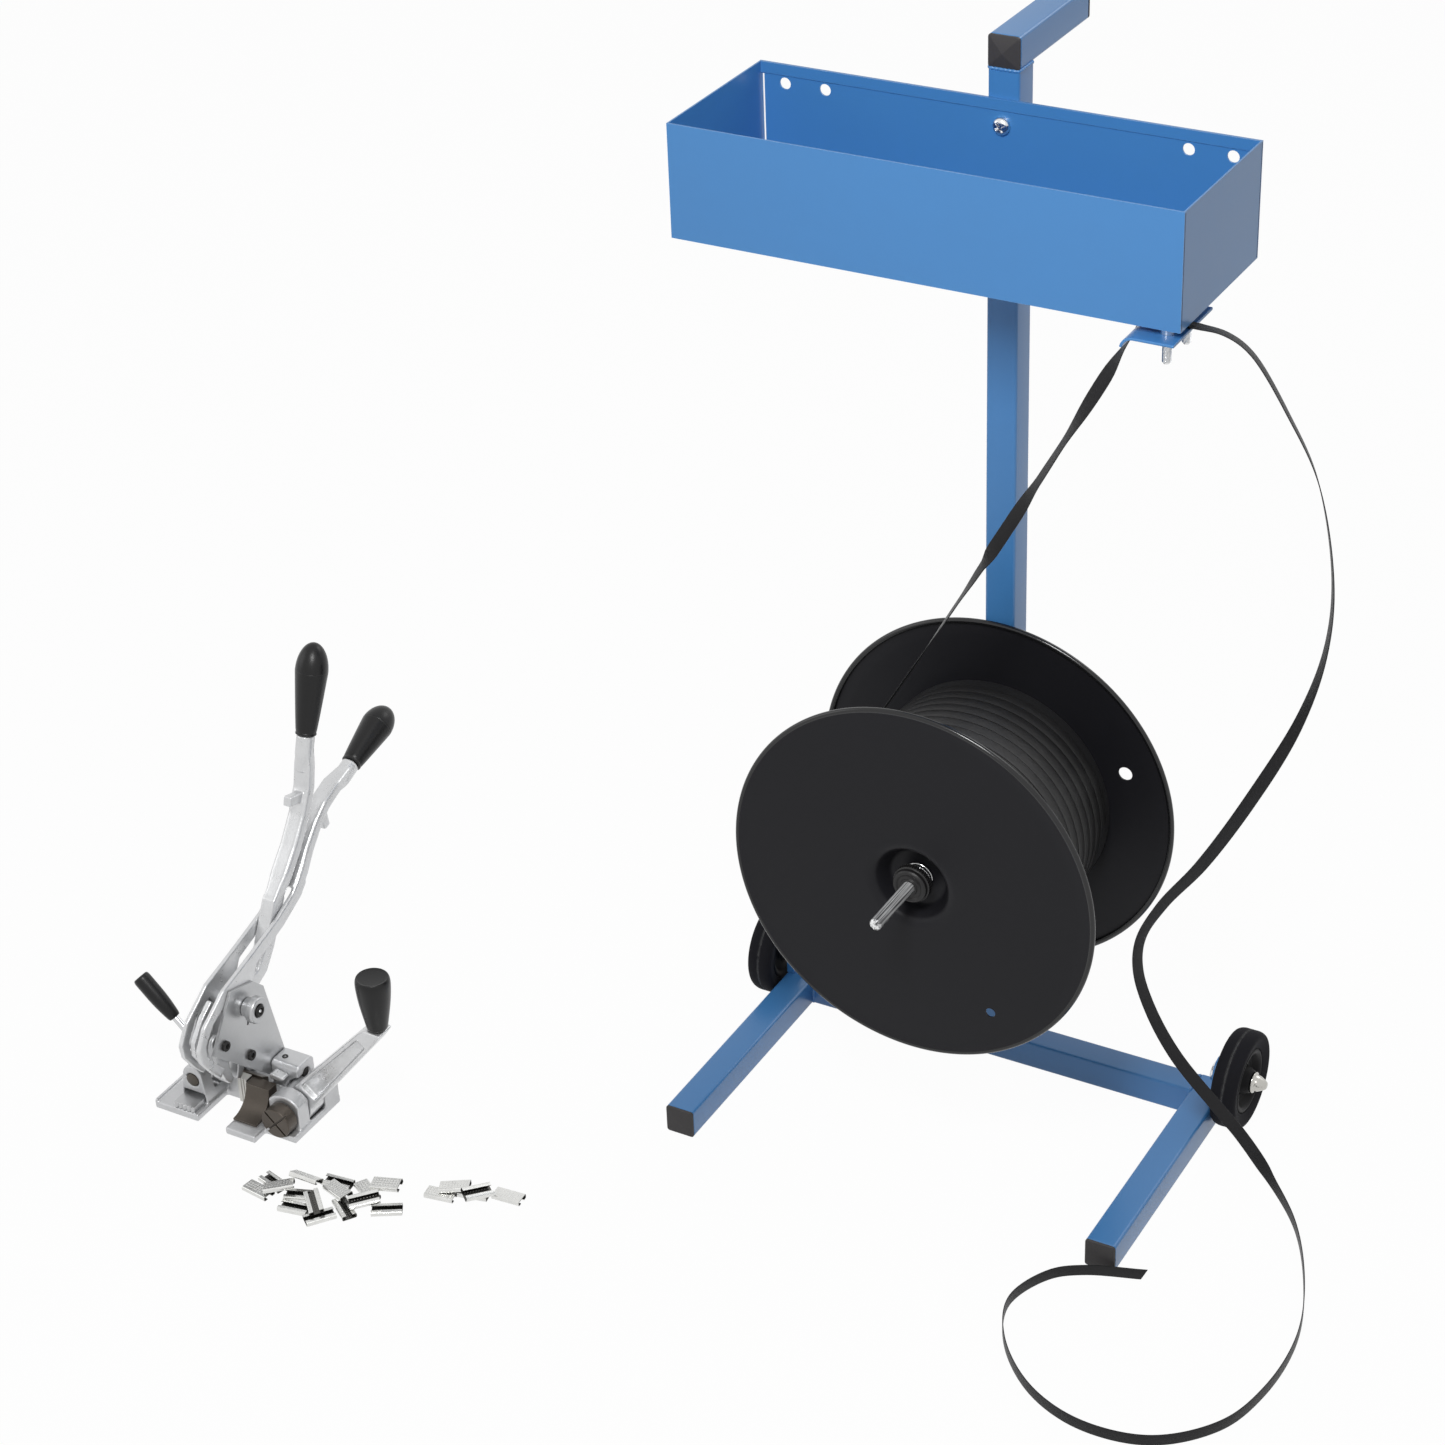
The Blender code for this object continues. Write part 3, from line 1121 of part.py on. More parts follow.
def build_windlass():
    """The windlass drum, the tension lever on its shaft, the lever's knob and the pawl."""
    axis = (WINDLASS_X, WINDLASS_Z)
    low = CHEEK_FRONT
    shaft = WINDLASS_SHAFT / 2
    r = WINDLASS / 2
    turn = joint_empty("windlass_axis", TOOL + Vector((WINDLASS_X, low, WINDLASS_Z)))
    profile = [(0, WINDLASS_FRONT), (r - FOOT_RIM / 3, WINDLASS_FRONT), (r, WINDLASS_FRONT + FOOT_RIM / 3),
               (r, low - GAP), (shaft, low - GAP), (shaft, BASE_BACK - GAP), (0, BASE_BACK - GAP)]
    drum = tool_piece("windlass", turned("y", axis, profile), BRONZE, turn)
    w = WINDLASS_SLOT / 2
    reach = r * 1.1
    cross = []
    for quarter in range(4):
        spin = Matrix.Rotation(math.radians(45 + 90 * quarter), 2)
        for corner in ((reach, -w), (reach, w), (w, w)):
            point = spin @ Vector(corner)
            cross.append((WINDLASS_X + point.x, WINDLASS_Z + point.y))
    tool_combine(drum, prism("y", cross, WINDLASS_FRONT - FOOT_RIM, WINDLASS_FRONT + FOOT_RIM * 0.7))

    middle = low + CHEEK + LEVER_SLOT / 2
    half = LEVER_SLOT / 2 - 2 * GAP
    swing = joint_empty("tension_axis", TOOL + Vector((WINDLASS_X, middle, WINDLASS_Z)))
    a = math.radians(TENSION_ANGLE)
    along = Vector((math.cos(a), 0, math.sin(a)))
    across = Vector((-math.sin(a), 0, math.cos(a)))
    centre = Vector((WINDLASS_X, middle, WINDLASS_Z))
    tip = centre + along * TENSION_REACH
    hub = TENSION_HUB / 2
    wide = TENSION_WIDE / 2
    narrow = TENSION_NARROW / 2

    def place(forward, side):
        point = centre + along * forward + across * side
        return (point.x, point.z)

    outline = [place(hub * math.cos(t), hub * math.sin(t)) for t in
               [math.radians(46 + 268 * k / 14) for k in range(15)]]
    outline += [place(hub * 1.3, -wide), place(TENSION_REACH * 0.95, -narrow),
                (tip.x + KNOB_FOOT / 2, tip.z), (tip.x - KNOB_FOOT / 2, tip.z),
                place(TENSION_REACH * 0.9, narrow), place(hub * 1.3, wide)]
    shape = prism("y", outline, middle - half, middle + half, [circle(axis, shaft + GAP)])
    lever = tool_piece("tension_lever", shape, FORGED, swing)
    rim = TENSION_RIM
    pocket = [place(hub * 1.35, -wide + rim), place(TENSION_REACH * 0.86, -narrow + rim),
              place(TENSION_REACH * 0.86, narrow - rim), place(hub * 1.35, wide - rim)]
    for face, depth in ((middle - half, TENSION_POCKET), (middle + half, -TENSION_POCKET)):
        first, last = sorted((face - depth, face + depth))
        tool_combine(lever, prism("y", pocket, first, last))
    stud = STUD / 2
    tool_combine(lever, rod("z", (tip.x, middle), stud, tip.z - FOOT, tip.z + STUD_LENGTH, 16), "UNION")
    bottom = tip.z + GAP
    foot = KNOB_FOOT / 2
    top = KNOB_TOP / 2
    knob = [(0, bottom + STUD_LENGTH), (stud + GAP, bottom + STUD_LENGTH), (stud + GAP, bottom),
            (foot * 0.9, bottom), (foot, bottom + KNOB_HEIGHT * 0.03),
            (foot + (top - foot) * 0.7, bottom + KNOB_HEIGHT * 0.5), (top, bottom + KNOB_HEIGHT * 0.93),
            (top * 0.93, bottom + KNOB_HEIGHT), (0, bottom + KNOB_HEIGHT)]
    tool_piece("tension_knob", turned("z", (tip.x, middle), knob), PLASTIC, swing)

    pivot = (EAR_INNER_RIGHT + KNUCKLE * 0.6, HINGE_Z + KNUCKLE * 0.2)
    nose = (WINDLASS_X - hub * 0.8 - PAWL_THICK / 2, WINDLASS_Z + hub * 0.8 + PAWL_THICK / 2)
    rock = joint_empty("pawl_axis", TOOL + Vector((pivot[0], NOTCH_BACK, pivot[1])))
    front = HINGE_Y - KNUCKLE - GAP - PAWL_WIDE
    t = PAWL_THICK / 2
    shape = prism("y", [*arc(pivot, t, 60, 240, 6), (nose[0] - t * 0.6, nose[1] - t * 0.5),
                        (nose[0] + t, nose[1] + t * 0.4), (nose[0] + t * 0.6, nose[1] + t)],
                  front, front + PAWL_WIDE)
    tool_piece("pawl", shape, PLATE_STEEL, rock)


# Layers between the head's plates: the rear lever's two prongs outside, the front lever and the jaws inside
MAIN = (MAIN_Y, MAIN_Z)
UPPER = (UPPER_Y, UPPER_Z)
LOWER = (LOWER_Y, LOWER_Z)
HINGE = (HINGE_Y, HINGE_Z)
PRONG_LEFT = (HEAD_LEFT + LAYER_GAP, HEAD_LEFT + LAYER_GAP + PRONG)
PRONG_RIGHT = (HEAD_RIGHT - LAYER_GAP - PRONG, HEAD_RIGHT - LAYER_GAP)
MIDDLE = (PRONG_LEFT[1] + LAYER_GAP, PRONG_RIGHT[0] - LAYER_GAP)
MIDDLE_WIDE = MIDDLE[1] - MIDDLE[0]
FRONT_LEVER = [(0.079, 0.166), (0.092, 0.189), (0.103, 0.210), (0.120, 0.229), (0.139, 0.250),
               (0.158, 0.277), (0.171, 0.303), (0.176, 0.326), (0.182, 0.352)]
FRONT_GRIP_END = (0.213, 0.445)
REAR_LEVER = [(0.128, 0.208), (0.142, 0.222), (0.158, 0.238), (0.176, 0.257), (0.193, 0.270),
              (0.216, 0.279), (0.246, 0.283)]
REAR_GRIP_END = (0.321, 0.311)
FRONT_ARM = [(0.118, 0.209), (0.090, 0.196), (0.042, 0.182), (-0.004, 0.170), (-0.040, 0.147),
             (-0.053, 0.127), (-0.051, 0.112), (-0.038, 0.092), (-0.026, 0.078)]
FRONT_ARM_INSIDE = [(-0.017, 0.084), (-0.029, 0.099), (-0.040, 0.115), (-0.040, 0.126), (-0.026, 0.143),
                    (-0.002, 0.154)]
PLATE_TOP = [(0.051, 0.142), (0.037, 0.156), (0.001, 0.166), (-0.036, 0.113)]
JAW_RIB = [(-0.013, 0.160), (-0.030, 0.149), (-0.046, 0.130), (-0.047, 0.115), (-0.036, 0.097),
           (-0.027, 0.086), (-0.019, 0.092), (-0.0225, 0.104), (-0.0245, 0.110), (-0.0245, 0.118),
           (-0.0205, 0.1205), (-0.006, 0.152)]
RIB = 0.006
STOP = 0.009


def build_head():
    """The sealing head: two side plates on a hinge, jaw pins, jaws, and two levers on the main pin."""
    tilt = joint_empty("head_axis", TOOL + Vector((HEAD_X, *HINGE)))
    plate = [*arc(HINGE, KNUCKLE, -150, 0, 8), *PLATE_TOP]
    holes = [circle(HINGE, HINGE_PIN / 2 + GAP, 16), circle(MAIN, MAIN_PIN / 2 + GAP, 16),
             circle(UPPER, JAW_PIN / 2 + GAP, 12), circle(LOWER, JAW_PIN / 2 + GAP, 12)]
    sides = (("left_side_plate", HEAD_LEFT - HEAD_PLATE, HEAD_LEFT),
             ("right_side_plate", HEAD_RIGHT, HEAD_RIGHT + HEAD_PLATE))
    for name, low, high in sides:
        tool_piece(name, prism("x", plate, low, high, holes), PLATE_STEEL, tilt)
    pin = HINGE_PIN / 2
    shaft = [(0, EAR_LEFT + GAP), (pin, EAR_LEFT + GAP), (pin, EAR_RIGHT - GAP), (0, EAR_RIGHT - GAP)]
    tool_piece("head_hinge_pin", turned("x", HINGE, shaft, 16), BLACK_SCREW)

    left = HEAD_LEFT - HEAD_PLATE - GAP
    right = HEAD_RIGHT + HEAD_PLATE + GAP
    pin = MAIN_PIN / 2
    r = ROLLER / 2
    out = right + ROLLER_OUT
    face = out - ROLLER_OUT * 0.08
    bolt = [(0, left - HEAD_PLATE), (pin * 1.5, left - HEAD_PLATE), (pin * 1.5, left), (pin, left),
            (pin, right), (r * 0.75, right), (r * 0.75, out - ROLLER_OUT * 0.6),
            (r, out - ROLLER_OUT * 0.55), (r, out - ROLLER_OUT * 0.15), (r * 0.9, face),
            (r * 0.4, face), (r * 0.35, out), (0, out)]
    tool_piece("lever_pin", turned("x", MAIN, bolt), CHROME, tilt)
    for name, place in (("upper_jaw_pin", UPPER), ("lower_jaw_pin", LOWER)):
        pin = JAW_PIN / 2
        head = JAW_HEAD / 2
        screw = [(0, left - HEAD_PLATE), (head, left - HEAD_PLATE), (head, left), (pin, left), (pin, right),
                 (head, right), (head, right + HEAD_PLATE), (head * 0.5, right + HEAD_PLATE),
                 (head * 0.5, right + HEAD_PLATE * 0.3), (0, right + HEAD_PLATE * 0.3)]
        tool_piece(name, turned("x", place, screw, 16), BLACK_SCREW, tilt)

    front = joint_empty("front_jaw_axis", TOOL + Vector((HEAD_X, *UPPER)))
    rear = joint_empty("rear_jaw_axis", TOOL + Vector((HEAD_X, *LOWER)))
    for end in (front, rear):
        end.parent = tilt
        end.matrix_parent_inverse = Matrix.Translation(-tilt.location)
    hub = JAW_PIN * 1.1
    jaw = [*arc(UPPER, hub, 20, 200, 8), (-0.021, 0.088), (-0.014, 0.066), (-0.006, 0.056), (0.000, 0.060),
           (-0.004, 0.074), (-0.005, 0.092)]
    bore = JAW_PIN / 2 + GAP
    made = tool_piece("front_jaw", prism("x", jaw, *MIDDLE, [circle(UPPER, bore, 12)]), PLATE_STEEL, front)
    tool_combine(made, prism("x", JAW_RIB, HEAD_X - RIB / 2, HEAD_X + RIB / 2), "UNION")
    jaw = [*arc(LOWER, hub, -40, 180, 8), (0.007, 0.066), (0.004, 0.056), (0.010, 0.052), (0.018, 0.062)]
    tool_piece("rear_jaw", prism("x", jaw, *MIDDLE, [circle(LOWER, bore, 12)]), PLATE_STEEL, rear)

    build_front_lever()
    build_rear_lever()


def build_front_lever():
    """The lever whose blade turns on the main pin between the prongs, and its grip."""
    turn = joint_empty("front_lever_axis", TOOL + Vector((HEAD_X, *MAIN)))
    hub = LEVER_HUB / 2
    blade = [*arc(MAIN, hub, 95, 300, 10), (0.056, 0.137), (0.071, 0.144), (0.086, 0.163), (0.112, 0.207),
             (0.106, 0.222), (0.094, 0.213), (0.072, 0.171), (0.058, 0.154)]
    hole = circle(MAIN, MAIN_PIN / 2 + GAP, 16)
    lever = tool_piece("front_lever", prism("x", blade, *MIDDLE, [hole]), FORGED, turn)
    count = len(FRONT_LEVER)
    wide = [MIDDLE_WIDE - 2 * GAP] * 3 + [LEVER_THICK * 1.5] * (count - 4) + [LEVER_THICK]
    thick = [LEVER_THICK * (1.25 - 0.35 * k / (count - 1)) for k in range(count)]
    tool_combine(lever, lever_loft(FRONT_LEVER, wide, thick), "UNION")
    add_grip(lever, "front_grip", FRONT_LEVER[-1], FRONT_GRIP_END, turn)
    stop = [(0.140, 0.296), (0.168, 0.289), (0.171, 0.299), (0.143, 0.306)]
    tool_combine(lever, prism("x", stop, HEAD_X - STOP / 2, HEAD_X + STOP / 2), "UNION")


def build_rear_lever():
    """The lever whose prongs pass outside the front lever and curve round the head, and its grip."""
    turn = joint_empty("rear_lever_axis", TOOL + Vector((HEAD_X, *MAIN)))
    hub = LEVER_HUB / 2
    prong = [*FRONT_ARM, *FRONT_ARM_INSIDE, *arc(MAIN, hub, 170, 370, 10), (0.050, 0.168), (0.098, 0.183),
             (0.131, 0.199), (0.142, 0.210), (0.133, 0.222)]
    hole = circle(MAIN, MAIN_PIN / 2 + GAP, 16)
    lever = tool_piece("rear_lever", prism("x", prong, *PRONG_LEFT, [hole]), FORGED, turn)
    tool_combine(lever, prism("x", prong, *PRONG_RIGHT, [hole]), "UNION")
    count = len(REAR_LEVER)
    full = PRONG_RIGHT[1] - PRONG_LEFT[0] - 2 * GAP
    wide = [full, full, full * 0.8] + [LEVER_THICK * 1.5] * (count - 4) + [LEVER_THICK]
    thick = [LEVER_THICK * (1.25 - 0.35 * k / (count - 1)) for k in range(count)]
    tool_combine(lever, lever_loft(REAR_LEVER, wide, thick), "UNION")
    add_grip(lever, "rear_grip", REAR_LEVER[-1], REAR_GRIP_END, turn)
    stop = [(0.184, 0.268), (0.191, 0.240), (0.200, 0.242), (0.196, 0.268)]
    tool_combine(lever, prism("x", stop, HEAD_X - STOP / 2, HEAD_X + STOP / 2), "UNION")


def add_grip(lever, name, start, end, turn):
    """A pear-shaped grip pushed on a stud at the lever's end."""
    start = Vector((HEAD_X, *start))
    end = Vector((HEAD_X, *end))
    along = (end - start).normalized()
    stud = STUD / 2
    tool_combine(lever, bar(start - along * FOOT, start + along * STUD_LENGTH, (stud, stud), 12), "UNION")
    foot = start + along * FOOT / 2
    shape = pear(foot, end, stud + GAP, STUD_LENGTH, GRIP_FOOT, GRIP_TOP)
    tool_piece(name, shape, PLASTIC, turn)


def build_anvil():
    """The dark anvil that curves down to the middle foot, and the pale cutter post beside it."""
    back = NOTCH_BACK
    low = FOOT + GAP
    curve = 0.026
    centre = (-0.004, low + curve + GAP * 6)
    outline = [(back, low), (back, ANVIL_TOP), (centre[0] + curve, ANVIL_TOP),
               *arc(centre, curve, 0, -90, 7), (centre[0], low)]
    tool_piece("anvil_block", prism("x", outline, NOTCH_RIGHT + GAP, MID_FOOT_RIGHT - FOOT), BRONZE)
    right = NOTCH_RIGHT - 3 * GAP
    top = ANVIL_TOP + FOOT_RIM / 2
    post = block((right - POST_WIDE, back - GAP - POST_DEEP, FOOT), (right, back - GAP, top))
    tool_piece("cutter_post", post, PLATE_STEEL)


# Seals: short open channels with lips that fold over the strap's edges
SEALS = (
    ("seal_1", -0.506, -0.519, 20),
    ("seal_2", -0.456, -0.516, -35),
    ("seal_3", -0.356, -0.440, 12),
)


def build_seals():
    half = SEAL_WIDTH / 2
    t = SEAL_SHEET
    top = SEAL_HEIGHT
    lip = SEAL_LIP
    inside = half - t
    under = top - t
    edge = half - lip
    outline = [(-half, 0), (half, 0), (half, top), (edge, top), (edge, under), (inside, under), (inside, t),
               (-inside, t), (-inside, under), (-edge, under), (-edge, top), (-half, top)]
    for name, x, y, angle in SEALS:
        shape = prism("x", outline, -SEAL_LENGTH / 2, SEAL_LENGTH / 2)
        place = Matrix.Translation((x, y, GAP)) @ Matrix.Rotation(math.radians(angle), 4, "Z")
        bmesh.ops.transform(shape, matrix=place, verts=shape.verts[:])
        piece(name, shape, CHROME)


build_frame()
build_tray()
build_guide()
build_wheel(-1, "left")
build_wheel(1, "right")
build_reel()
build_strap()
build_tool_base()
build_gripper()
build_windlass()
build_head()
build_anvil()
build_seals()
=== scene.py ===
# %% [markdown]
# # A strapping set, dressed for its picture
#
# The set is a blue strap dispenser on two wheels, a hand tool that tightens and seals the strap, and a few
# loose metal seals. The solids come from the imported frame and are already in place, in metres. This script
# adds what the eye needs: rounded edges, fine turned shapes, the embossed strap, castings with soft corners,
# and finishes with grain and wear. It starts with the frame, because everything else is placed from it.

import json
import math

import bmesh
import bpy
import numpy as np
from mathutils import Matrix, Vector
from mathutils.bvhtree import BVHTree


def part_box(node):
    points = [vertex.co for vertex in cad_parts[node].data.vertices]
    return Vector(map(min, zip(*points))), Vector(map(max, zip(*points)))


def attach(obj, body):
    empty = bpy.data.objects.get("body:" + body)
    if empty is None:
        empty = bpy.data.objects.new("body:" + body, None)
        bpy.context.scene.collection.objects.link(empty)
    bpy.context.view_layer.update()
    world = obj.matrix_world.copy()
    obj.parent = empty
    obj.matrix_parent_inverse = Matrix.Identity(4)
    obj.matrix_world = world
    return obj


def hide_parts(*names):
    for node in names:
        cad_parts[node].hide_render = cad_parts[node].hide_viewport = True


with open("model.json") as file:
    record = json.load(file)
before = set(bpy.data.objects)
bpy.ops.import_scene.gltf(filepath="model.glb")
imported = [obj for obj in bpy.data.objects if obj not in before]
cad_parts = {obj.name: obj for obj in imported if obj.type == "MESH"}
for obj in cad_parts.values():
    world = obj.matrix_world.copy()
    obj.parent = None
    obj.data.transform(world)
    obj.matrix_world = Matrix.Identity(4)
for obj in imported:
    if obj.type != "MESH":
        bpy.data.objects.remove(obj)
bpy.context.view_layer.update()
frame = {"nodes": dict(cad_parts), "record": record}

# %% [markdown]
# ## The camera
#
# A camera can be aimed with a constraint, but the picture was taken with the camera slightly rolled, so its
# matrix is built from three turns instead: how far it stands round the set, how far it looks down, and its
# roll. An offset along the camera's own axes comes last.

# %% Camera
CAMERA_TURN = math.radians(30.471)
CAMERA_DIP = math.radians(31.187)
CAMERA_ROLL = math.radians(-2.403)
CAMERA_OFFSET = (-0.2849, 0.3329, 3.4226)
PICTURE_SIDE = 1445
FOCAL_PIXELS = 3359.2
SENSOR = 36.0


def spin(angles, axes):
    """Turns by angles about the named axes, multiplied together; the last one acts first."""
    made = Matrix.Identity(4)
    for angle, axis in zip(angles, axes):
        made = made @ Matrix.Rotation(angle, 4, axis)
    return made


camera = bpy.data.objects.new("camera", bpy.data.cameras.new("camera"))
camera.data.sensor_width = SENSOR
camera.data.lens = FOCAL_PIXELS / PICTURE_SIDE * SENSOR
camera.data.dof.use_dof = False
turns = spin((CAMERA_TURN, math.pi / 2 - CAMERA_DIP, CAMERA_ROLL), "ZXZ")
camera.matrix_world = turns @ Matrix.Translation(CAMERA_OFFSET)
bpy.context.scene.collection.objects.link(camera)
bpy.context.scene.camera = camera
print("camera: lens", round(camera.data.lens, 2), "mm at", [round(x, 3) for x in camera.location])

# %% [markdown]
# ## Surfaces from arrays
#
# Nearly every piece here is a grid of points: a profile carried along a path, or a profile turned about an
# axis. Working out the whole grid with numpy keeps the formula in one place, and one function then turns any
# grid into a mesh. Corners of a profile are rounded first, because a real edge always catches a thin line of
# light.

# %% Places and sizes from the frame
AXIS = {"x": 0, "y": 1, "z": 2}
RIGHT = np.array((1.0, 0.0, 0.0))
REAR = np.array((0.0, 1.0, 0.0))


def flat_centre(node, axis):
    """The centre of a CAD node's box, in the plane square to an axis."""
    low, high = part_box(node)
    return np.delete(np.array((low + high) / 2), AXIS[axis])


def half_size(node, axis):
    """Half the size of a CAD node's box along an axis."""
    low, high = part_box(node)
    return (high[AXIS[axis]] - low[AXIS[axis]]) / 2


def extent(node, axis, across):
    """A CAD node's two ends along one axis, and half its size along another."""
    low, high = (corner[AXIS[axis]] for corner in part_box(node))
    return low, high, half_size(node, across)


def spread(axis, u, v, along):
    """Points with two coordinates in the plane square to axis and one along it."""
    planes = [u, v]
    planes.insert(AXIS[axis], along)
    return np.stack(np.broadcast_arrays(*planes), -1)


def lengths(rows):
    """Distance travelled at each row of a path."""
    return np.concatenate([[0.0], np.cumsum(np.linalg.norm(np.diff(rows[:, :3], axis=0), axis=1))])


def round_turn(steps):
    """Equal angles round a full turn."""
    return np.linspace(0.0, 2 * np.pi, steps, endpoint=False)


# %% Mesh helpers
SMOOTH = math.radians(38)
MERGE = 1e-6
SIDE_SHARE = 0.48


def new_object(name, mesh, sharp=SMOOTH):
    """A linked object from a mesh, merged, facing out and smooth except at edges sharper than sharp."""
    shape = bmesh.new()
    shape.from_mesh(mesh)
    bmesh.ops.remove_doubles(shape, verts=shape.verts[:], dist=MERGE)
    bmesh.ops.recalc_face_normals(shape, faces=shape.faces[:])
    shape.to_mesh(mesh)
    shape.free()
    mesh.shade_smooth()
    mesh.set_sharp_from_angle(angle=sharp)
    made = bpy.data.objects.new(name, mesh)
    bpy.context.scene.collection.objects.link(made)
    return made


def grid_quads(rows, columns, wrap_rows=False, wrap_columns=True):
    """The rows and the columns of the four corners of every quad between the points of a grid."""
    i, j = np.meshgrid(np.arange(rows - 1 + wrap_rows), np.arange(columns - 1 + wrap_columns), indexing="ij")
    row = np.stack([i, i + 1, i + 1, i], -1).reshape(-1, 4)
    return row, np.stack([j, j, j + 1, j + 1], -1).reshape(-1, 4)


def surface(name, points, wrap_rows=False, wrap_columns=True, caps=True, uv=None, sharp=SMOOTH):
    """A mesh from points[row, column]: quads between neighbours, wrapped where asked, end rings capped.

    uv gives a value for each row and one for each column, with one more where that direction wraps.
    """
    rows, columns = points.shape[:2]
    row, column = grid_quads(rows, columns, wrap_rows, wrap_columns)
    quads = (row % rows) * columns + column % columns
    faces = quads.tolist()
    if caps and not wrap_rows:
        ring = np.arange(columns)
        faces += [ring.tolist(), (ring[::-1] + (rows - 1) * columns).tolist()]
    mesh = bpy.data.meshes.new(name)
    mesh.from_pydata(points.reshape(-1, 3), [], faces)
    if uv is not None:
        layer = mesh.uv_layers.new(name="UVMap")
        flat = np.zeros((len(mesh.loops), 2), np.float32)
        flat[:quads.size] = np.stack([uv[0][row], uv[1][column]], -1).reshape(-1, 2)
        layer.data.foreach_set("uv", flat.ravel())
    return new_object(name, mesh, sharp)


def rounded(corners, radius, steps=4, closed=False):
    """Corners of a flat outline, each replaced by a curve (1-t)^2 A + 2t(1-t) B + t^2 C.

    A and C lie on the corner's two sides at the given radius, or nearly half a side away on a short side.
    """
    corners = np.asarray(corners, float)
    before = np.roll(corners, 1, axis=0) - corners
    after = np.roll(corners, -1, axis=0) - corners
    reach = np.broadcast_to(np.asarray(radius, float), len(corners))

    def side(step):
        length = np.maximum(np.linalg.norm(step, axis=1), 1e-9)
        return corners + step * (np.minimum(reach, SIDE_SHARE * length) / length)[:, None]

    t = np.linspace(0.0, 1.0, steps + 1)[None, :, None]
    a, b, c = side(before)[:, None], corners[:, None], side(after)[:, None]
    curves = (1 - t) ** 2 * a + 2 * t * (1 - t) * b + t ** 2 * c
    if closed:
        return curves.reshape(-1, 2)
    return np.concatenate([corners[:1], curves[1:-1].reshape(-1, 2), corners[-1:]])


# %% Turned and swept surfaces
def lathe(name, axis, centre, profile, steps, closed=False, wave=None):
    """A profile of (radius r, place s) turned about an axis: (u, v) = centre + r (cos a, sin a), along = s.

    wave(angle, radius, along) is added to the radius, for knurls, threads and flats.
    """
    profile = np.asarray(profile, float)
    angle = round_turn(steps)[None, :]
    radius = profile[:, :1] + 0 * angle
    along = profile[:, 1:] + 0 * angle
    if wave:
        radius = radius + wave(angle, radius, along)
    u = centre[0] + radius * np.cos(angle)
    v = centre[1] + radius * np.sin(angle)
    return surface(name, spread(axis, u, v, along), wrap_rows=closed, caps=False)


def tangents(path):
    """Unit directions along a path of points."""
    step = np.gradient(path, axis=0)
    return step / np.linalg.norm(step, axis=1, keepdims=True)


def sweep(name, path, side, profile, uv=None, slant=0.0):
    """A closed profile carried along a path: point = path + across * side + out * (path x side).

    The last ring is sheared along the path by slant * across, for an end that is cut askew.
    """
    along = tangents(path)
    side = side - along * np.sum(side * along, axis=1, keepdims=True)
    side = side / np.linalg.norm(side, axis=1, keepdims=True)
    out = np.cross(along, side)
    points = path[:, None] + side[:, None] * profile[..., :1] + out[:, None] * profile[..., 1:]
    points[-1] += slant * profile[:, :1] * along[-1]
    return surface(name, points, uv=uv)


# %% Dressing
def dress(made, look, body, *nodes):
    """Give a piece its finish, let it ride on its body and stand for the CAD nodes that it replaces."""
    made.data.materials.clear()
    made.data.materials.append(look)
    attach(made, body)
    if nodes:
        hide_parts(*nodes)
    return made


def turned(name, axis, centre, profile, look, body, *nodes,
           steps, soft=None, fine=4, closed=False, wave=None):
    """A dressed piece turned from a profile, whose corners are rounded by soft in fine steps each."""
    if soft is not None:
        profile = rounded(profile, soft, fine, closed)
    return dress(lathe(name, axis, centre, profile, steps, closed, wave), look, body, *nodes)


print("helpers ready")

# %% [markdown]
# ## The free strap
#
# Plastic strap is springy: it leaves the guide level, hangs in a wide bow with a lazy twist, touches down on
# its edge and lies on the floor in an open loop. The route is a short list of places with the direction of
# the strap's width at each. A smooth curve goes through them, and the flat section is carried along it. The
# strap is embossed, so its UV map keeps true metres along and across for the pattern.

# %% The strap's section and route
STRAP = 0.012
STRAP_THICK = 0.0009
STRAP_ROUND = 0.35
STRAP_CROWN = 0.00003
STRAP_EXIT = (0.237, -0.150, 0.91225)
EXIT_GAP = 0.0003
FLOOR_EDGE = 0.0064
CURVE_FINE = 16
DOWN = (0.0, 0.0, -1.0)
HANGING = [
    ((0.263, -0.150, 0.910), (0.0, 1.0, -0.18)),
    ((0.285, -0.150, 0.898), (-0.1, 1.0, -0.25)),
    ((0.321, -0.148, 0.845), (-0.3, 0.95, -0.12)),
    ((0.347, -0.146, 0.793), (-0.45, 0.88, 0.0)),
    ((0.364, -0.142, 0.702), (-0.49, 0.87, 0.0)),
    ((0.361, -0.139, 0.632), (-0.55, 0.82, 0.05)),
    ((0.341, -0.136, 0.556), (-0.72, 0.55, 0.2)),
    ((0.298, -0.130, 0.459), (-0.85, -0.05, 0.4)),
    ((0.253, -0.125, 0.374), (-0.8, -0.35, 0.45)),
    ((0.215, -0.121, 0.316), (-0.65, -0.6, 0.4)),
    ((0.194, -0.118, 0.270), (-0.5, -0.8, 0.2)),
    ((0.192, -0.116, 0.233), (-0.45, -0.88, 0.0)),
    ((0.205, -0.113, 0.189), (-0.45, -0.85, -0.2)),
    ((0.230, -0.108, 0.141), (-0.47, -0.75, -0.45)),
    ((0.270, -0.102, 0.092), (-0.48, -0.67, -0.57)),
    ((0.295, -0.100, 0.065), (-0.4, -0.45, -0.8)),
    ((0.323, -0.093, 0.020), (-0.15, -0.15, -1.0)),
    ((0.366, -0.135, 0.0075), DOWN),
]
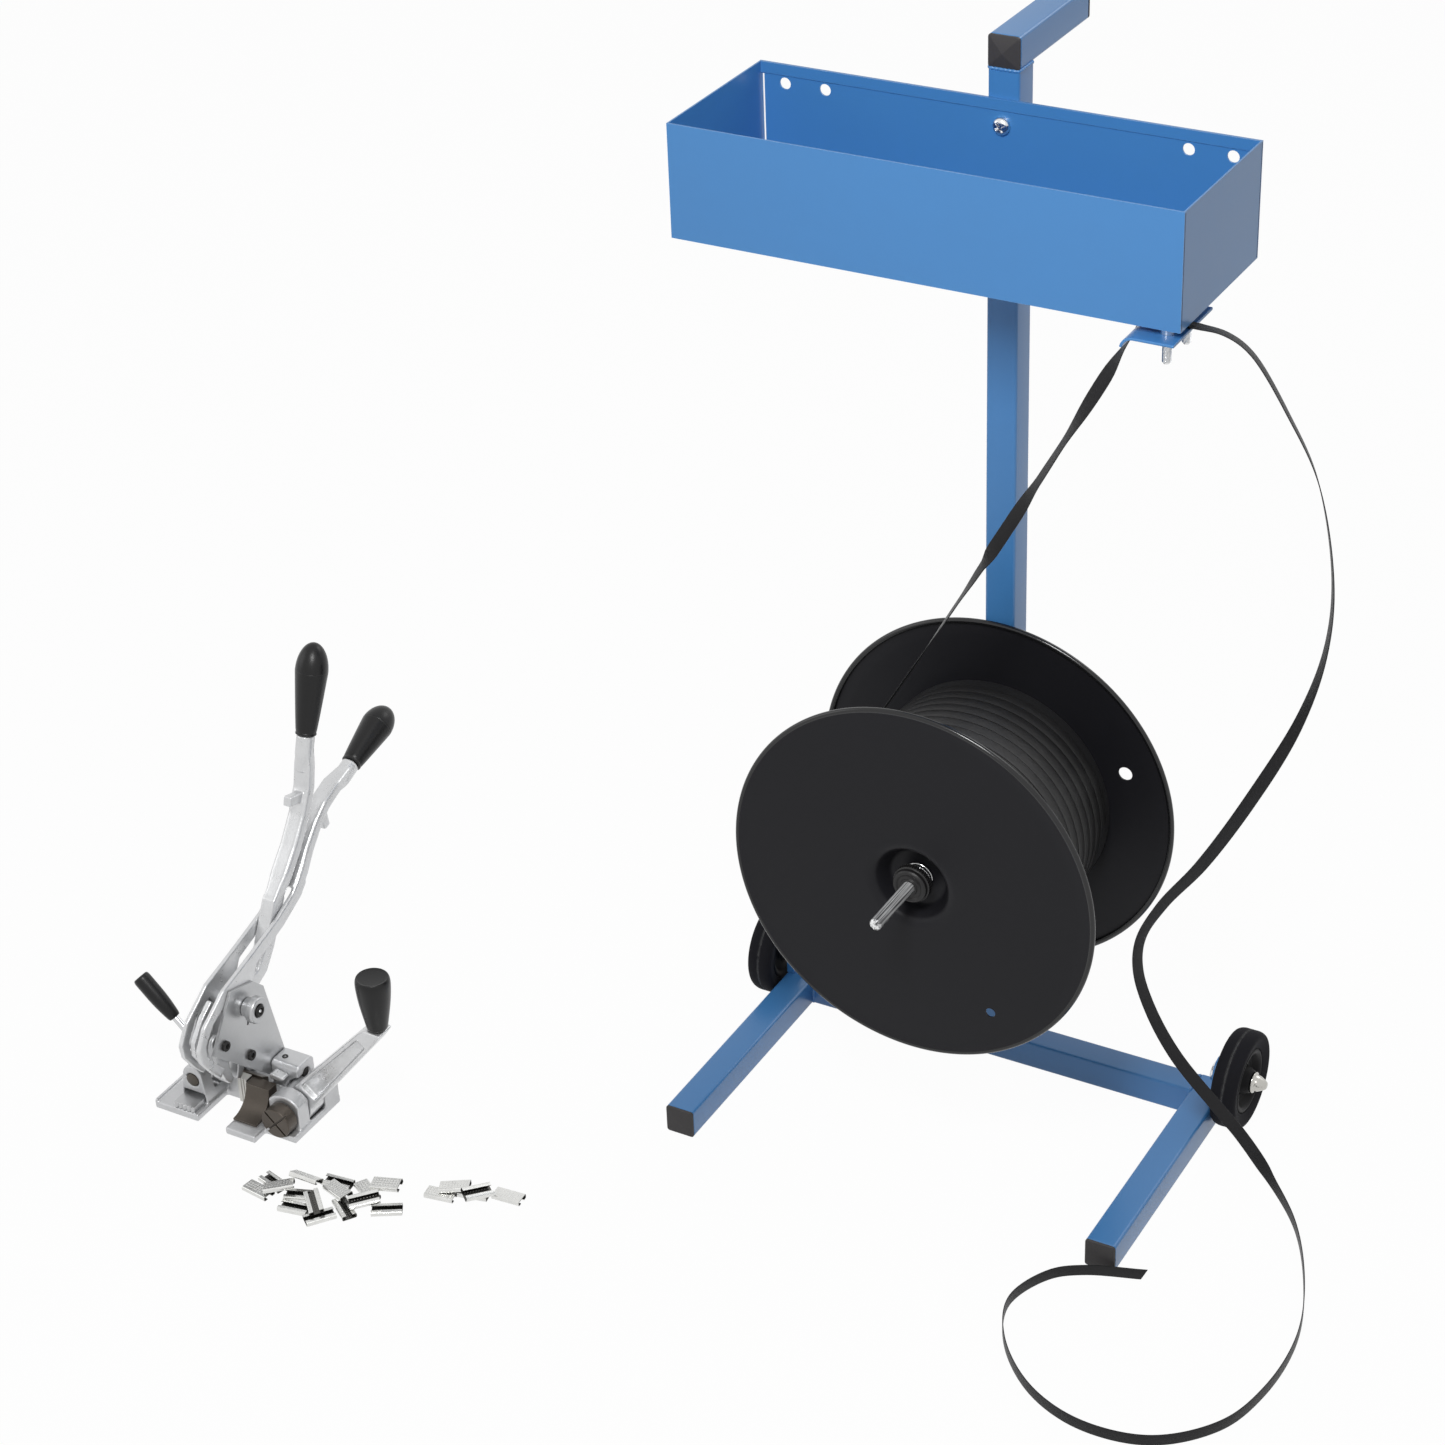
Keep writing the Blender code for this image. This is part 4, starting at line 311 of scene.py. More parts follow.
LYING = [(0.406, -0.215), (0.425, -0.285), (0.424, -0.358), (0.406, -0.417), (0.359, -0.462), (0.297, -0.472),
         (0.240, -0.452), (0.191, -0.403), (0.172, -0.351), (0.190, -0.302), (0.216, -0.282), (0.268, -0.263)]


def smooth_curve(rows, count):
    """Rows at equal steps of length on a centripetal Catmull-Rom curve through the given rows.

    Each stretch blends its four nearest rows by the square root of their distances, all stretches at once.
    """
    rows = np.asarray(rows, float)
    ends = np.vstack([2 * rows[0] - rows[1], rows, 2 * rows[-1] - rows[-2]])
    steps = np.sqrt(np.linalg.norm(np.diff(ends[:, :3], axis=0), axis=1))
    knots = np.concatenate([[0.0], np.cumsum(steps)])
    a, b, c, d = (ends[k:len(ends) - 3 + k][:, None] for k in range(4))
    ka, kb, kc, kd = (knots[k:len(knots) - 3 + k][:, None, None] for k in range(4))
    t = kb + (kc - kb) * np.linspace(0.0, 1.0, CURVE_FINE, endpoint=False)[None, :, None]
    ab = a + (b - a) * (t - ka) / (kb - ka)
    bc = b + (c - b) * (t - kb) / (kc - kb)
    cd = c + (d - c) * (t - kc) / (kd - kc)
    abc = ab + (bc - ab) * (t - ka) / (kc - ka)
    bcd = bc + (cd - bc) * (t - kb) / (kd - kb)
    dense = (abc + (bcd - abc) * (t - kb) / (kc - kb)).reshape(-1, rows.shape[1])
    dense = np.vstack([dense, rows[-1]])
    travelled = lengths(dense)
    even = np.linspace(0.0, travelled[-1], count)
    return np.column_stack([np.interp(even, travelled, column) for column in dense.T])


SQUARE = np.array([[-1.0, -1.0], [1.0, -1.0], [1.0, 1.0], [-1.0, 1.0]])


def strap_section():
    """The strap's flat section: a rectangle with soft corners and a very slight crown."""
    outline = rounded(SQUARE * (STRAP / 2, STRAP_THICK / 2), STRAP_THICK * STRAP_ROUND, 2, closed=True)
    crown = STRAP_CROWN * np.cos(np.pi * outline[:, 0] / STRAP) * np.sign(outline[:, 1])
    return outline + np.column_stack([0 * crown, crown])


SECTION = strap_section()


def lay_strap(name, path, side, slant=0.0):
    """The strap's section along a path, with metres along and across it as its UV map."""
    across = SECTION[:, 0] + STRAP / 2
    return sweep(name, path, side, SECTION, (lengths(path), np.append(across, across[0])), slant)


# %% Sweep the free strap
TAIL_ROWS = 420
CUT_SLANT = -0.5
tail = [(STRAP_EXIT, REAR)] + HANGING + [((x, y, FLOOR_EDGE), DOWN) for x, y in LYING]
route = smooth_curve([(*place, *wide) for place, wide in tail], TAIL_ROWS)
tail_path = route[:, :3] + (EXIT_GAP, 0, 0)
strap_tail = lay_strap("free_strap", tail_path, route[:, 3:], CUT_SLANT)
print("free strap:", round(lengths(tail_path)[-1], 3), "m")

# %% [markdown]
# ## Shader nodes in one line
#
# A material is a tree of nodes with links between their sockets. Written out, each node, setting and link
# takes a line of its own. A helper that makes a node, sets its properties and feeds its sockets keeps the
# recipe in view: a plain value stays on the socket, and another node's output is linked to it.

# %% Node helpers
WHITE = (1, 1, 1, 1)
NOISE_ROUGHNESS = 0.55


def feed(tree, socket, value):
    """Link a socket to another, or set it to a plain value."""
    if isinstance(value, bpy.types.NodeSocket):
        tree.links.new(value, socket)
    else:
        socket.default_value = value


def add(tree, kind, inputs, **settings):
    """The outputs of a new shader node, with its properties set and its inputs fed by name or number."""
    node = tree.nodes.new("ShaderNode" + kind)
    for label, value in settings.items():
        setattr(node, label, value)
    for label, value in inputs.items():
        feed(tree, node.inputs[label], value)
    return node.outputs


def calculate(tree, operation, *values, clamp=False):
    """The output of a Math node."""
    return add(tree, "Math", dict(enumerate(values)), operation=operation, use_clamp=clamp)[0]


def noise(tree, vector, scale, detail=4.0):
    """A noise value from 0 to 1 at a point."""
    inputs = {"Vector": vector, "Scale": scale, "Detail": detail, "Roughness": NOISE_ROUGHNESS}
    return add(tree, "TexNoise", inputs)["Fac"]


def mixed(tree, amount, a, b):
    """A colour mix of two sockets or colours; the Mix node's colour sockets are numbers 6 and 7, out at 2."""
    return add(tree, "Mix", {0: amount, 6: a, 7: b}, data_type="RGBA")[2]


print("node helpers ready")

# %% [markdown]
# ## Floor and light
#
# The set stands on a seamless pale floor. A white background could come from strong lamps, but those would
# bleach the paint. Here the floor and the world show white to the camera and to reflections through Light
# Path, while the light that falls on the set stays at a plain level, and the floor keeps a faint shadow.

# %% Floor
FLOOR_SIZE = 60.0
FLOOR_DROP = 0.0004
FLOOR_SHADE = 0.97
FLOOR_GREY = (0.82, 0.82, 0.82, 1)


def seen_or_reflected(tree):
    """1 for rays that the camera sees directly, by reflection or through glass, and 0 for falling light."""
    path = add(tree, "LightPath", {})
    seen = calculate(tree, "MAXIMUM", path["Is Camera Ray"], path["Is Glossy Ray"])
    return calculate(tree, "MAXIMUM", seen, path["Is Transmission Ray"])


def floor_finish():
    """Mostly a plain white glow for seen rays, with a share of lit matt floor that carries the shadow."""
    made = bpy.data.materials.new("studio_floor")
    made.use_nodes = True
    tree = made.node_tree
    tree.nodes.remove(tree.nodes["Principled BSDF"])
    share = calculate(tree, "MULTIPLY", seen_or_reflected(tree), FLOOR_SHADE)
    matt = add(tree, "BsdfDiffuse", {"Color": FLOOR_GREY})[0]
    glow = add(tree, "Emission", {"Color": WHITE})[0]
    mix = add(tree, "MixShader", {0: share, 1: matt, 2: glow})[0]
    tree.links.new(mix, tree.nodes["Material Output"].inputs["Surface"])
    return made


edge = np.linspace(-FLOOR_SIZE / 2, FLOOR_SIZE / 2, 3)
ground = spread("z", *np.meshgrid(edge, edge, indexing="ij"), np.array(-FLOOR_DROP))
floor = surface("floor", ground, wrap_columns=False, caps=False)
floor.data.flip_normals()
floor.data.materials.append(floor_finish())
print("floor:", FLOOR_SIZE, "m square")

# %% World and lamps
WORLD_LIGHT = 0.22
AIM = Vector((0.0, -0.1, 0.55))
LAMPS = {
    "key": ((0.25, -1.4, 1.95), 0.5, 22.5),
    "fill": ((-2.6, -1.4, 1.4), 1.4, 6.0),
    "back": ((0.6, 1.9, 2.2), 1.2, 10.0),
}
world = bpy.data.worlds.new("studio")
bpy.context.scene.world = world
world.use_nodes = True
tree = world.node_tree
sky = tree.nodes["Background"].inputs
sky["Color"].default_value = WHITE
level = add(tree, "MapRange", {"Value": seen_or_reflected(tree), "To Min": WORLD_LIGHT, "To Max": 1.0})
tree.links.new(level[0], sky["Strength"])
for name, (place, size, watts) in LAMPS.items():
    lamp = bpy.data.objects.new(name, bpy.data.lights.new(name, "AREA"))
    lamp.data.energy = watts
    lamp.data.size = size
    lamp.location = place
    lamp.rotation_euler = (AIM - Vector(place)).to_track_quat("-Z", "Y").to_euler()
    bpy.context.scene.collection.objects.link(lamp)
bpy.context.scene.view_settings.view_transform = "Standard"
print("studio: world and", len(LAMPS), "soft lamps")

# %% [markdown]
# ## Shared effects
#
# Three effects turn up in almost every finish: a slow drift of tone over a surface, a fine grain that the
# light picks out, and edges rubbed paler than the faces. Each is a node group, built once, with its own
# sockets, so a finish only says how much of it there is and at what scale.

# %% Node groups
SOCKET_KIND = {1: "NodeSocketFloat", 3: "NodeSocketVector", 4: "NodeSocketColor"}
DRIFT_FINER = 9.0
DRIFT_SLOW = 0.65
GRAIN_FINER = 2.3
GRAIN_SHARE = 0.5
EDGE_GAIN = 9.0
EDGE_BREAK_SCALE = 160.0
EDGE_BREAK = (1.6, -0.3)


def open_group(name, inputs, outputs):
    """An empty shader group and its two ends; the kind of a socket follows from the size of its value."""
    tree = bpy.data.node_groups.new(name, "ShaderNodeTree")
    for label, value in inputs.items():
        kind = SOCKET_KIND[np.size(value)]
        tree.interface.new_socket(label, in_out="INPUT", socket_type=kind).default_value = value
    for label, size in outputs.items():
        tree.interface.new_socket(label, in_out="OUTPUT", socket_type=SOCKET_KIND[size])
    return tree, tree.nodes.new("NodeGroupInput").outputs, tree.nodes.new("NodeGroupOutput").inputs


def object_place(tree):
    """The place of a point on its own object."""
    return add(tree, "TexCoord", {})["Object"]


def drift_group():
    """Tone drift: the colour is scaled by 1 + amount (2 noise - 1), with slow and fine noise summed."""
    inputs = {"Colour": (0.5, 0.5, 0.5, 1), "Amount": 0.1, "Scale": 12.0, "Roughness": 0.4,
              "Roughness Swing": 0.1}
    tree, first, last = open_group("tone_drift", inputs, {"Colour": 4, "Roughness": 1})
    place = object_place(tree)
    slow = noise(tree, place, first["Scale"])
    fine = noise(tree, place, calculate(tree, "MULTIPLY", first["Scale"], DRIFT_FINER), detail=6.0)
    fine = calculate(tree, "MULTIPLY", fine, 1 - DRIFT_SLOW)
    both = calculate(tree, "MULTIPLY_ADD", slow, DRIFT_SLOW, fine)
    swing = calculate(tree, "MULTIPLY_ADD", both, 2.0, -1.0)
    gain = calculate(tree, "MULTIPLY_ADD", swing, first["Amount"], 1.0)
    colour = add(tree, "VectorMath", {0: first["Colour"], "Scale": gain}, operation="SCALE")[0]
    tree.links.new(colour, last["Colour"])
    rough = calculate(tree, "MULTIPLY_ADD", swing, first["Roughness Swing"], first["Roughness"])
    tree.links.new(rough, last["Roughness"])
    return tree


def grain_group():
    """Grain: a height from a coarse and a finer noise, in coordinates stretched for a brushed grain."""
    tree, first, last = open_group("fine_grain", {"Scale": 800.0, "Stretch": (1, 1, 1)}, {"Height": 1})
    stretch = {0: object_place(tree), 1: first["Stretch"]}
    place = add(tree, "VectorMath", stretch, operation="MULTIPLY")[0]
    coarse = noise(tree, place, first["Scale"], detail=3.0)
    fine = noise(tree, place, calculate(tree, "MULTIPLY", first["Scale"], GRAIN_FINER), detail=2.0)
    tree.links.new(calculate(tree, "MULTIPLY_ADD", fine, GRAIN_SHARE, coarse), last["Height"])
    return tree


def edge_group():
    """Rubbed edges: where the normal over a small radius departs from the face's own, broken by noise."""
    tree, first, last = open_group("rubbed_edges", {"Width": 0.001, "Amount": 0.5}, {"Mask": 1})
    soft = add(tree, "Bevel", {"Radius": first["Width"]}, samples=6)[0]
    own = add(tree, "NewGeometry", {})["Normal"]
    dot = add(tree, "VectorMath", {0: soft, 1: own}, operation="DOT_PRODUCT")["Value"]
    departs = calculate(tree, "MULTIPLY", calculate(tree, "SUBTRACT", 1.0, dot), EDGE_GAIN)
    broken = calculate(tree, "MULTIPLY_ADD", noise(tree, object_place(tree), EDGE_BREAK_SCALE), *EDGE_BREAK)
    worn = calculate(tree, "MULTIPLY", calculate(tree, "MULTIPLY", departs, broken), first["Amount"])
    tree.links.new(add(tree, "Clamp", {"Value": worn})[0], last["Mask"])
    return tree


DRIFT = drift_group()
GRAIN = grain_group()
EDGES = edge_group()
print("effects:", [group.name for group in (DRIFT, GRAIN, EDGES)])

# %% [markdown]
# ## Finishes
#
# Each finish is one Principled shader. Its colour and roughness drift a little, a fine grain goes to the
# bump, and on metal and plastic the edges are rubbed. Plain numbers stay on the shader itself. Enamel gets a
# coat, rubber is dull, and the strap adds its embossed lattice, which follows the UV map along the strap.
#
# A finish starts with its slot, its name, its colour and its roughness. Then come the drift as amount and
# scale, and the grain as height and scale. What differs from a plain finish follows by name.

# %% Finish helpers
def principled(made):
    """The inputs of a finish's shader."""
    return made.node_tree.nodes["Principled BSDF"].inputs


def finish(slot, name, colour, roughness, drift, grain, metallic=0.0, swing=0.06, stretch=(1, 1, 1),
           strength=0.25, edge=None, edge_width=0.0008, specular=0.5, height=None):
    """A Principled material for a record slot: drifting colour and roughness, grain bump, rubbed edges.

    drift is (amount, scale), grain is (height, scale) and edge is (amount, colour). height(tree) may give a
    further height in metres for the bump, such as an embossed pattern.
    """
    made = bpy.data.materials.new(name)
    made.use_nodes = True
    made["slot"] = slot
    tree = made.node_tree
    values = {"Colour": (*colour, 1.0), "Amount": drift[0], "Scale": drift[1], "Roughness": roughness,
              "Roughness Swing": swing}
    tone = add(tree, "Group", values, node_tree=DRIFT)
    shown = tone["Colour"]
    if edge:
        worn = add(tree, "Group", {"Width": edge_width, "Amount": edge[0]}, node_tree=EDGES)
        shown = mixed(tree, worn["Mask"], shown, (*edge[1], 1.0))
    rise = add(tree, "Group", {"Scale": grain[1], "Stretch": stretch}, node_tree=GRAIN)["Height"]
    rise = calculate(tree, "MULTIPLY", rise, grain[0])
    if height:
        rise = calculate(tree, "ADD", rise, height(tree))
    bump = add(tree, "Bump", {"Strength": strength, "Distance": 1.0, "Height": rise})["Normal"]
    shader = {"Base Color": shown, "Roughness": tone["Roughness"], "Normal": bump, "Metallic": metallic,
              "Specular IOR Level": specular}
    for label, value in shader.items():
        feed(tree, principled(made)[label], value)
    return made


def mix_in(made, mask, colour):
    """Lay a colour over a finish's own where a mask is 1."""
    base = principled(made)["Base Color"]
    tree = made.node_tree
    tree.links.new(mixed(tree, mask, base.links[0].from_socket, colour), base)


# %% The strap's embossing
LATTICE = 0.0017
LATTICE_DEPTH = 0.00022


def uv_parts(tree):
    """The two UV coordinates: along and across."""
    return add(tree, "SeparateXYZ", {0: add(tree, "UVMap", {})["UV"]})


def embossed(tree):
    """A lattice of small diamonds: the product of two sine waves that run slantwise across the strap."""
    along, across = uv_parts(tree)[:2]
    turn = 2 * math.pi / LATTICE
    sums = [calculate(tree, sign, along, across) for sign in ("ADD", "SUBTRACT")]
    waves = [calculate(tree, "SINE", calculate(tree, "MULTIPLY", both, turn)) for both in sums]
    return calculate(tree, "MULTIPLY", calculate(tree, "MULTIPLY", *waves), LATTICE_DEPTH)


# %% Paint, plastic and rubber
ENAMEL = finish("blue_paint", "blue_enamel", (0.062, 0.236, 0.545), 0.34, (0.05, 6.0), (0.00012, 420.0),
                edge=(0.35, (0.16, 0.38, 0.72)), edge_width=0.0012)
principled(ENAMEL)["Coat Weight"].default_value = 0.15
principled(ENAMEL)["Coat Roughness"].default_value = 0.18
# Dark blue for the seams at the tray's end: painted shade, standing for the shadow in the fold's gap.
SEAM_SHADE = finish("blue_paint", "seam_blue", (0.010, 0.042, 0.115), 0.5, (0.1, 10.0), (0.0001, 700.0))
FLANGE_BLACK = finish("black_flange", "black_enamel", (0.01, 0.01, 0.0125), 0.46, (0.16, 7.0),
                      (0.0001, 900.0), edge=(0.3, (0.07, 0.07, 0.075)), specular=0.20)
RIM_BLACK = finish("black_flange", "glossy_rim", (0.006, 0.006, 0.007), 0.16, (0.12, 20.0), (0.00006, 700.0))
MOULDED = finish("black_plastic", "moulded_black", (0.013, 0.0125, 0.013), 0.40, (0.15, 30.0),
                 (0.00016, 1500.0), edge=(0.35, (0.08, 0.08, 0.08)), specular=0.35)
CAP_GREY = finish("black_plastic", "cap_grey", (0.048, 0.045, 0.046), 0.55, (0.2, 40.0), (0.0002, 1200.0),
                  edge=(0.5, (0.15, 0.145, 0.14)), specular=0.30)
GRIP = finish("black_plastic", "grip_black", (0.0055, 0.0055, 0.0058), 0.32, (0.12, 35.0), (0.00022, 1300.0),
              edge=(0.3, (0.07, 0.07, 0.07)), specular=0.35)
HUB_BLACK = finish("black_plastic", "hub_black", (0.005, 0.005, 0.006), 0.5, (0.15, 30.0), (0.00016, 1500.0),
                   specular=0.15)
TYRE = finish("tyre_rubber", "scuffed_rubber", (0.012, 0.012, 0.015), 0.78, (0.45, 55.0), (0.00045, 500.0),
              swing=0.12, stretch=(0.35, 1, 1), edge=(0.8, (0.15, 0.15, 0.15)), edge_width=0.002,
              specular=0.12)
STRAP_BLACK = finish("strap_plastic", "embossed_strap", (0.011, 0.0108, 0.012), 0.40, (0.10, 14.0),
                     (0.00006, 900.0), strength=0.5, height=embossed, specular=0.22)
# The winding gets a paler copy of the strap's black: painted sheen, for the light that the wound turns catch.
STRAP_PAINTED_SHEEN = finish("strap_plastic", "wound_strap", (0.023, 0.0225, 0.023), 0.34, (0.20, 22.0), (0.00006, 900.0),
               strength=0.4, height=embossed)
LAYER = finish("strap_plastic", "strap_edges", (0.018, 0.018, 0.019), 0.5, (0.2, 30.0), (0.0003, 900.0))
BOARD = finish("roll_core", "brown_board", (0.25, 0.19, 0.13), 0.9, (0.3, 40.0), (0.0004, 400.0))
print("paint, plastic, rubber and board ready")

# %% Metals
ZINC = finish("bright_plate", "bright_zinc", (0.74, 0.745, 0.75), 0.20, (0.08, 60.0), (0.00008, 900.0),
              metallic=1.0, swing=0.08)
NICKEL = finish("bright_plate", "nickel_cap", (0.50, 0.49, 0.46), 0.20, (0.12, 90.0), (0.00008, 900.0),
                metallic=1.0, swing=0.08)
CHROME_ROD = finish("bright_plate", "bright_rod", (0.62, 0.625, 0.635), 0.14, (0.10, 70.0), (0.00005, 900.0),
                    metallic=1.0)
AXLE_ZINC = finish("bright_plate", "axle_zinc", (0.90, 0.905, 0.91), 0.24, (0.30, 70.0), (0.0003, 600.0),
                   metallic=0.35, swing=0.10, stretch=(1, 0.04, 1), edge=(0.3, (0.90, 0.90, 0.90)))
CAST = finish("cast_alloy", "cast_alloy", (0.60, 0.605, 0.615), 0.38, (0.16, 45.0), (0.0005, 650.0),
              metallic=0.65, swing=0.10, edge=(0.55, (0.80, 0.805, 0.81)), edge_width=0.0016)
PLATE = finish("plate_steel", "brushed_plate", (0.50, 0.505, 0.512), 0.34, (0.12, 40.0), (0.0002, 900.0),
               metallic=0.85, swing=0.08, stretch=(1, 1, 0.08), edge=(0.5, (0.78, 0.78, 0.78)))
CUTTER = finish("plate_steel", "ground_cutter", (0.55, 0.54, 0.51), 0.30, (0.25, 90.0), (0.0003, 1100.0),
                metallic=0.85, swing=0.10, stretch=(1, 1, 0.05), edge=(0.4, (0.80, 0.79, 0.76)))
FORGED = finish("forged_alloy", "tumbled_forging", (0.68, 0.685, 0.692), 0.30, (0.20, 60.0), (0.0007, 420.0),
                metallic=0.7, swing=0.12, edge=(0.6, (0.86, 0.86, 0.865)), edge_width=0.0016)
BRONZE = finish("bronzed_steel", "bronzed_steel", (0.095, 0.080, 0.066), 0.36, (0.28, 50.0), (0.0002, 900.0),
                metallic=0.6, swing=0.12, stretch=(1, 1, 0.15), edge=(0.6, (0.26, 0.23, 0.195)))
PIN_BRONZE = finish("black_steel", "bronzed_pin", (0.105, 0.092, 0.076), 0.38, (0.2, 80.0), (0.0002, 1100.0),
                    metallic=0.5, edge=(0.4, (0.24, 0.22, 0.19)))
OXIDE = finish("black_steel", "black_oxide", (0.022, 0.021, 0.021), 0.42, (0.2, 80.0), (0.0002, 1200.0),
               metallic=0.4, edge=(0.5, (0.16, 0.15, 0.14)), specular=0.30)
SEAL_STEEL = finish("bright_plate", "seal_steel", (0.74, 0.74, 0.72), 0.26, (0.22, 120.0), (0.00012, 900.0),
                    metallic=0.9, swing=0.10, edge=(0.35, (0.85, 0.85, 0.83)), edge_width=0.0006)
print("metals ready")

# %% Dark streaks of painted reflection along the axle, and painted shade inside the seals
REFLECTION_STREAK = (0.10, 0.10, 0.105, 1.0)
STREAK_LONG = (1.0, 0.015, 1.0)
STREAK_SCALE = 300.0
STREAK_RANGE = (7.0, -5.0)
INNER_PAINTED_SHADE = (0.10, 0.098, 0.092, 1.0)
INNER_SHARE = 0.5

# The axle's dark streaks are painted reflection: lengthwise lines of dark surroundings mirrored in the bright
# bar.
tree = AXLE_ZINC.node_tree
streaks = add(tree, "Group", {"Scale": STREAK_SCALE, "Stretch": STREAK_LONG}, node_tree=GRAIN)["Height"]
mix_in(AXLE_ZINC, calculate(tree, "MULTIPLY_ADD", streaks, *STREAK_RANGE, clamp=True), REFLECTION_STREAK)
# Painted shade: the inner face of each seal's channel is darkened, as if its hollow lay in shadow.
tree = SEAL_STEEL.node_tree
mix_in(SEAL_STEEL, calculate(tree, "LESS_THAN", uv_parts(tree)[1], INNER_SHARE), INNER_PAINTED_SHADE)
print("finishes:", len([m for m in bpy.data.materials if "slot" in m]))

# %% Lay the strap
dress(strap_tail, STRAP_BLACK, "root", "strap_tail")

# %% Any CAD node that keeps its own solid gets its slot's finish
SLOT_FINISH = {
    "blue_paint": ENAMEL, "black_flange": FLANGE_BLACK, "black_plastic": MOULDED, "tyre_rubber": TYRE,
    "bright_plate": ZINC, "strap_plastic": STRAP_BLACK, "roll_core": BOARD, "cast_alloy": CAST,
    "plate_steel": PLATE, "forged_alloy": FORGED, "bronzed_steel": BRONZE, "black_steel": OXIDE,
}
SLOT_OF = {part["node"]: part["material_slot"] for part in frame["record"]["subparts"]}
for node, solid in frame["nodes"].items():
    solid.data.materials.clear()
    solid.data.materials.append(SLOT_FINISH[SLOT_OF[node]])
print("solids with a finish:", len(SLOT_OF))

# %% [markdown]
# ## Square tubes and their plugs
#
# The trolley is welded from square steel tube with rounded corners. A tube is a closed surface: the outer
# wall runs out, turns in over the end and comes back as the inner wall. Rings of rounded squares, each with
# its own half width and place along the tube, describe that, and the plugs with their low pyramids as well.

# %% Tubes
TUBE_CORNER = 0.0032
TUBE_WALL = 0.002
TUBE_EDGE = 0.0005
CORNER_STEPS = 6


def square_rings(name, axis, centre, rows, wrap=False, sharp=SMOOTH):
    """Rounded squares stacked along an axis; each row is (half width, corner radius, place along it)."""
    outlines = np.array([rounded(SQUARE * half, corner, CORNER_STEPS, closed=True)
                         for half, corner, along in rows])
    along = np.array([row[2] for row in rows])[:, None]
    points = spread(axis, centre[0] + outlines[..., 0], centre[1] + outlines[..., 1], along)
    return surface(name, points, wrap_rows=wrap, caps=False, sharp=sharp)


def tube(name, node, axis, blind=False):
    """A square tube in a CAD node's box, open at both ends, or closed at its far end where blind."""
    low, high = (corner[AXIS[axis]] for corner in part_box(node))
    half = min(half_size(node, other) for other in AXIS if other != axis)
    bore = half - TUBE_WALL
    inner = TUBE_CORNER - TUBE_WALL / 2
    front = [(bore, inner, low), (half - TUBE_EDGE, TUBE_CORNER, low), (half, TUBE_CORNER, low + TUBE_EDGE)]
    back = [(half, TUBE_CORNER, high - TUBE_EDGE), (half - TUBE_EDGE, TUBE_CORNER, high)]
    if blind:
        floor_in = high - TUBE_WALL
        rows = [(0, 0, floor_in), (bore, inner, floor_in), *front, *back, (0, 0, high)]
    else:
        rows = [*front, *back, (bore, inner, high)]
    made = square_rings(name, axis, flat_centre(node, axis), rows, wrap=not blind)
    return dress(made, ENAMEL, "root", node)


tube("crossbar_tube", "base_crossbar", "x")
tube("left_leg_tube", "left_leg", "y", blind=True)
tube("right_leg_tube", "right_leg", "y", blind=True)
tube("column_tube", "column", "z")
tube("handle_tube", "handle_bar", "y")
print("tubes made")

# %% Plugs
PLUG_LIP = 0.0006
PLUG_PLATE = 0.0026
SPIGOT_ROUND = 0.001
PYRAMID_ROUND = 0.0015
PYRAMID_STEP = 0.08
PEAK = (0.0006, 0.0002)
PLUG_SHARP = math.radians(18)


def plug(name, node, outward, peak):
    """A tube plug along Y: spigot, plate with a soft edge, and a pyramid of four flat faces."""
    low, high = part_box(node)
    inside, outside = (low.y, high.y) if outward > 0 else (high.y, low.y)
    half = (high.x - low.x) / 2
    bore = half - TUBE_WALL - PLUG_LIP
    face = outside - outward * peak
    plate = face - outward * PLUG_PLATE
    rows = [
        (0, 0, inside),
        (bore, SPIGOT_ROUND, inside),
        (bore, SPIGOT_ROUND, plate),
        (half - PLUG_LIP, TUBE_CORNER, plate),
        (half, TUBE_CORNER, plate + outward * PLUG_LIP),
        (half, TUBE_CORNER, face - outward * PLUG_LIP),
        (half - PLUG_LIP, TUBE_CORNER, face),
        (half - 3 * PLUG_LIP, PYRAMID_ROUND, face + outward * peak * PYRAMID_STEP),
        (*PEAK, outside),
        (0, 0, outside),
    ]
    made = square_rings(name, "y", flat_centre(node, "y"), rows, sharp=PLUG_SHARP)
    return dress(made, CAP_GREY, "root", node)


PYRAMID = 0.004
LEG_PYRAMID = 0.0006
plug("handle_front_plug", "handle_front_cap", -1, PYRAMID)
plug("handle_rear_plug", "handle_rear_cap", 1, PYRAMID)
plug("left_leg_plug", "left_leg_cap", -1, LEG_PYRAMID)
plug("right_leg_plug", "right_leg_cap", -1, LEG_PYRAMID)
print("plugs made")

# %% [markdown]
# ## Weld beads
#
# Where one tube butts on another, a thin bead of weld runs round under the paint. It is a ring of small
# ripples, so the bead's radius follows a sine along its length. A closed loop round the joint is swept with
# that circle.

# %% Beads
BEAD = 0.0017
BEAD_RIPPLE = 0.12
BEAD_STEP = 0.0042
BEAD_ROWS = 6
BEAD_COLUMNS = 10


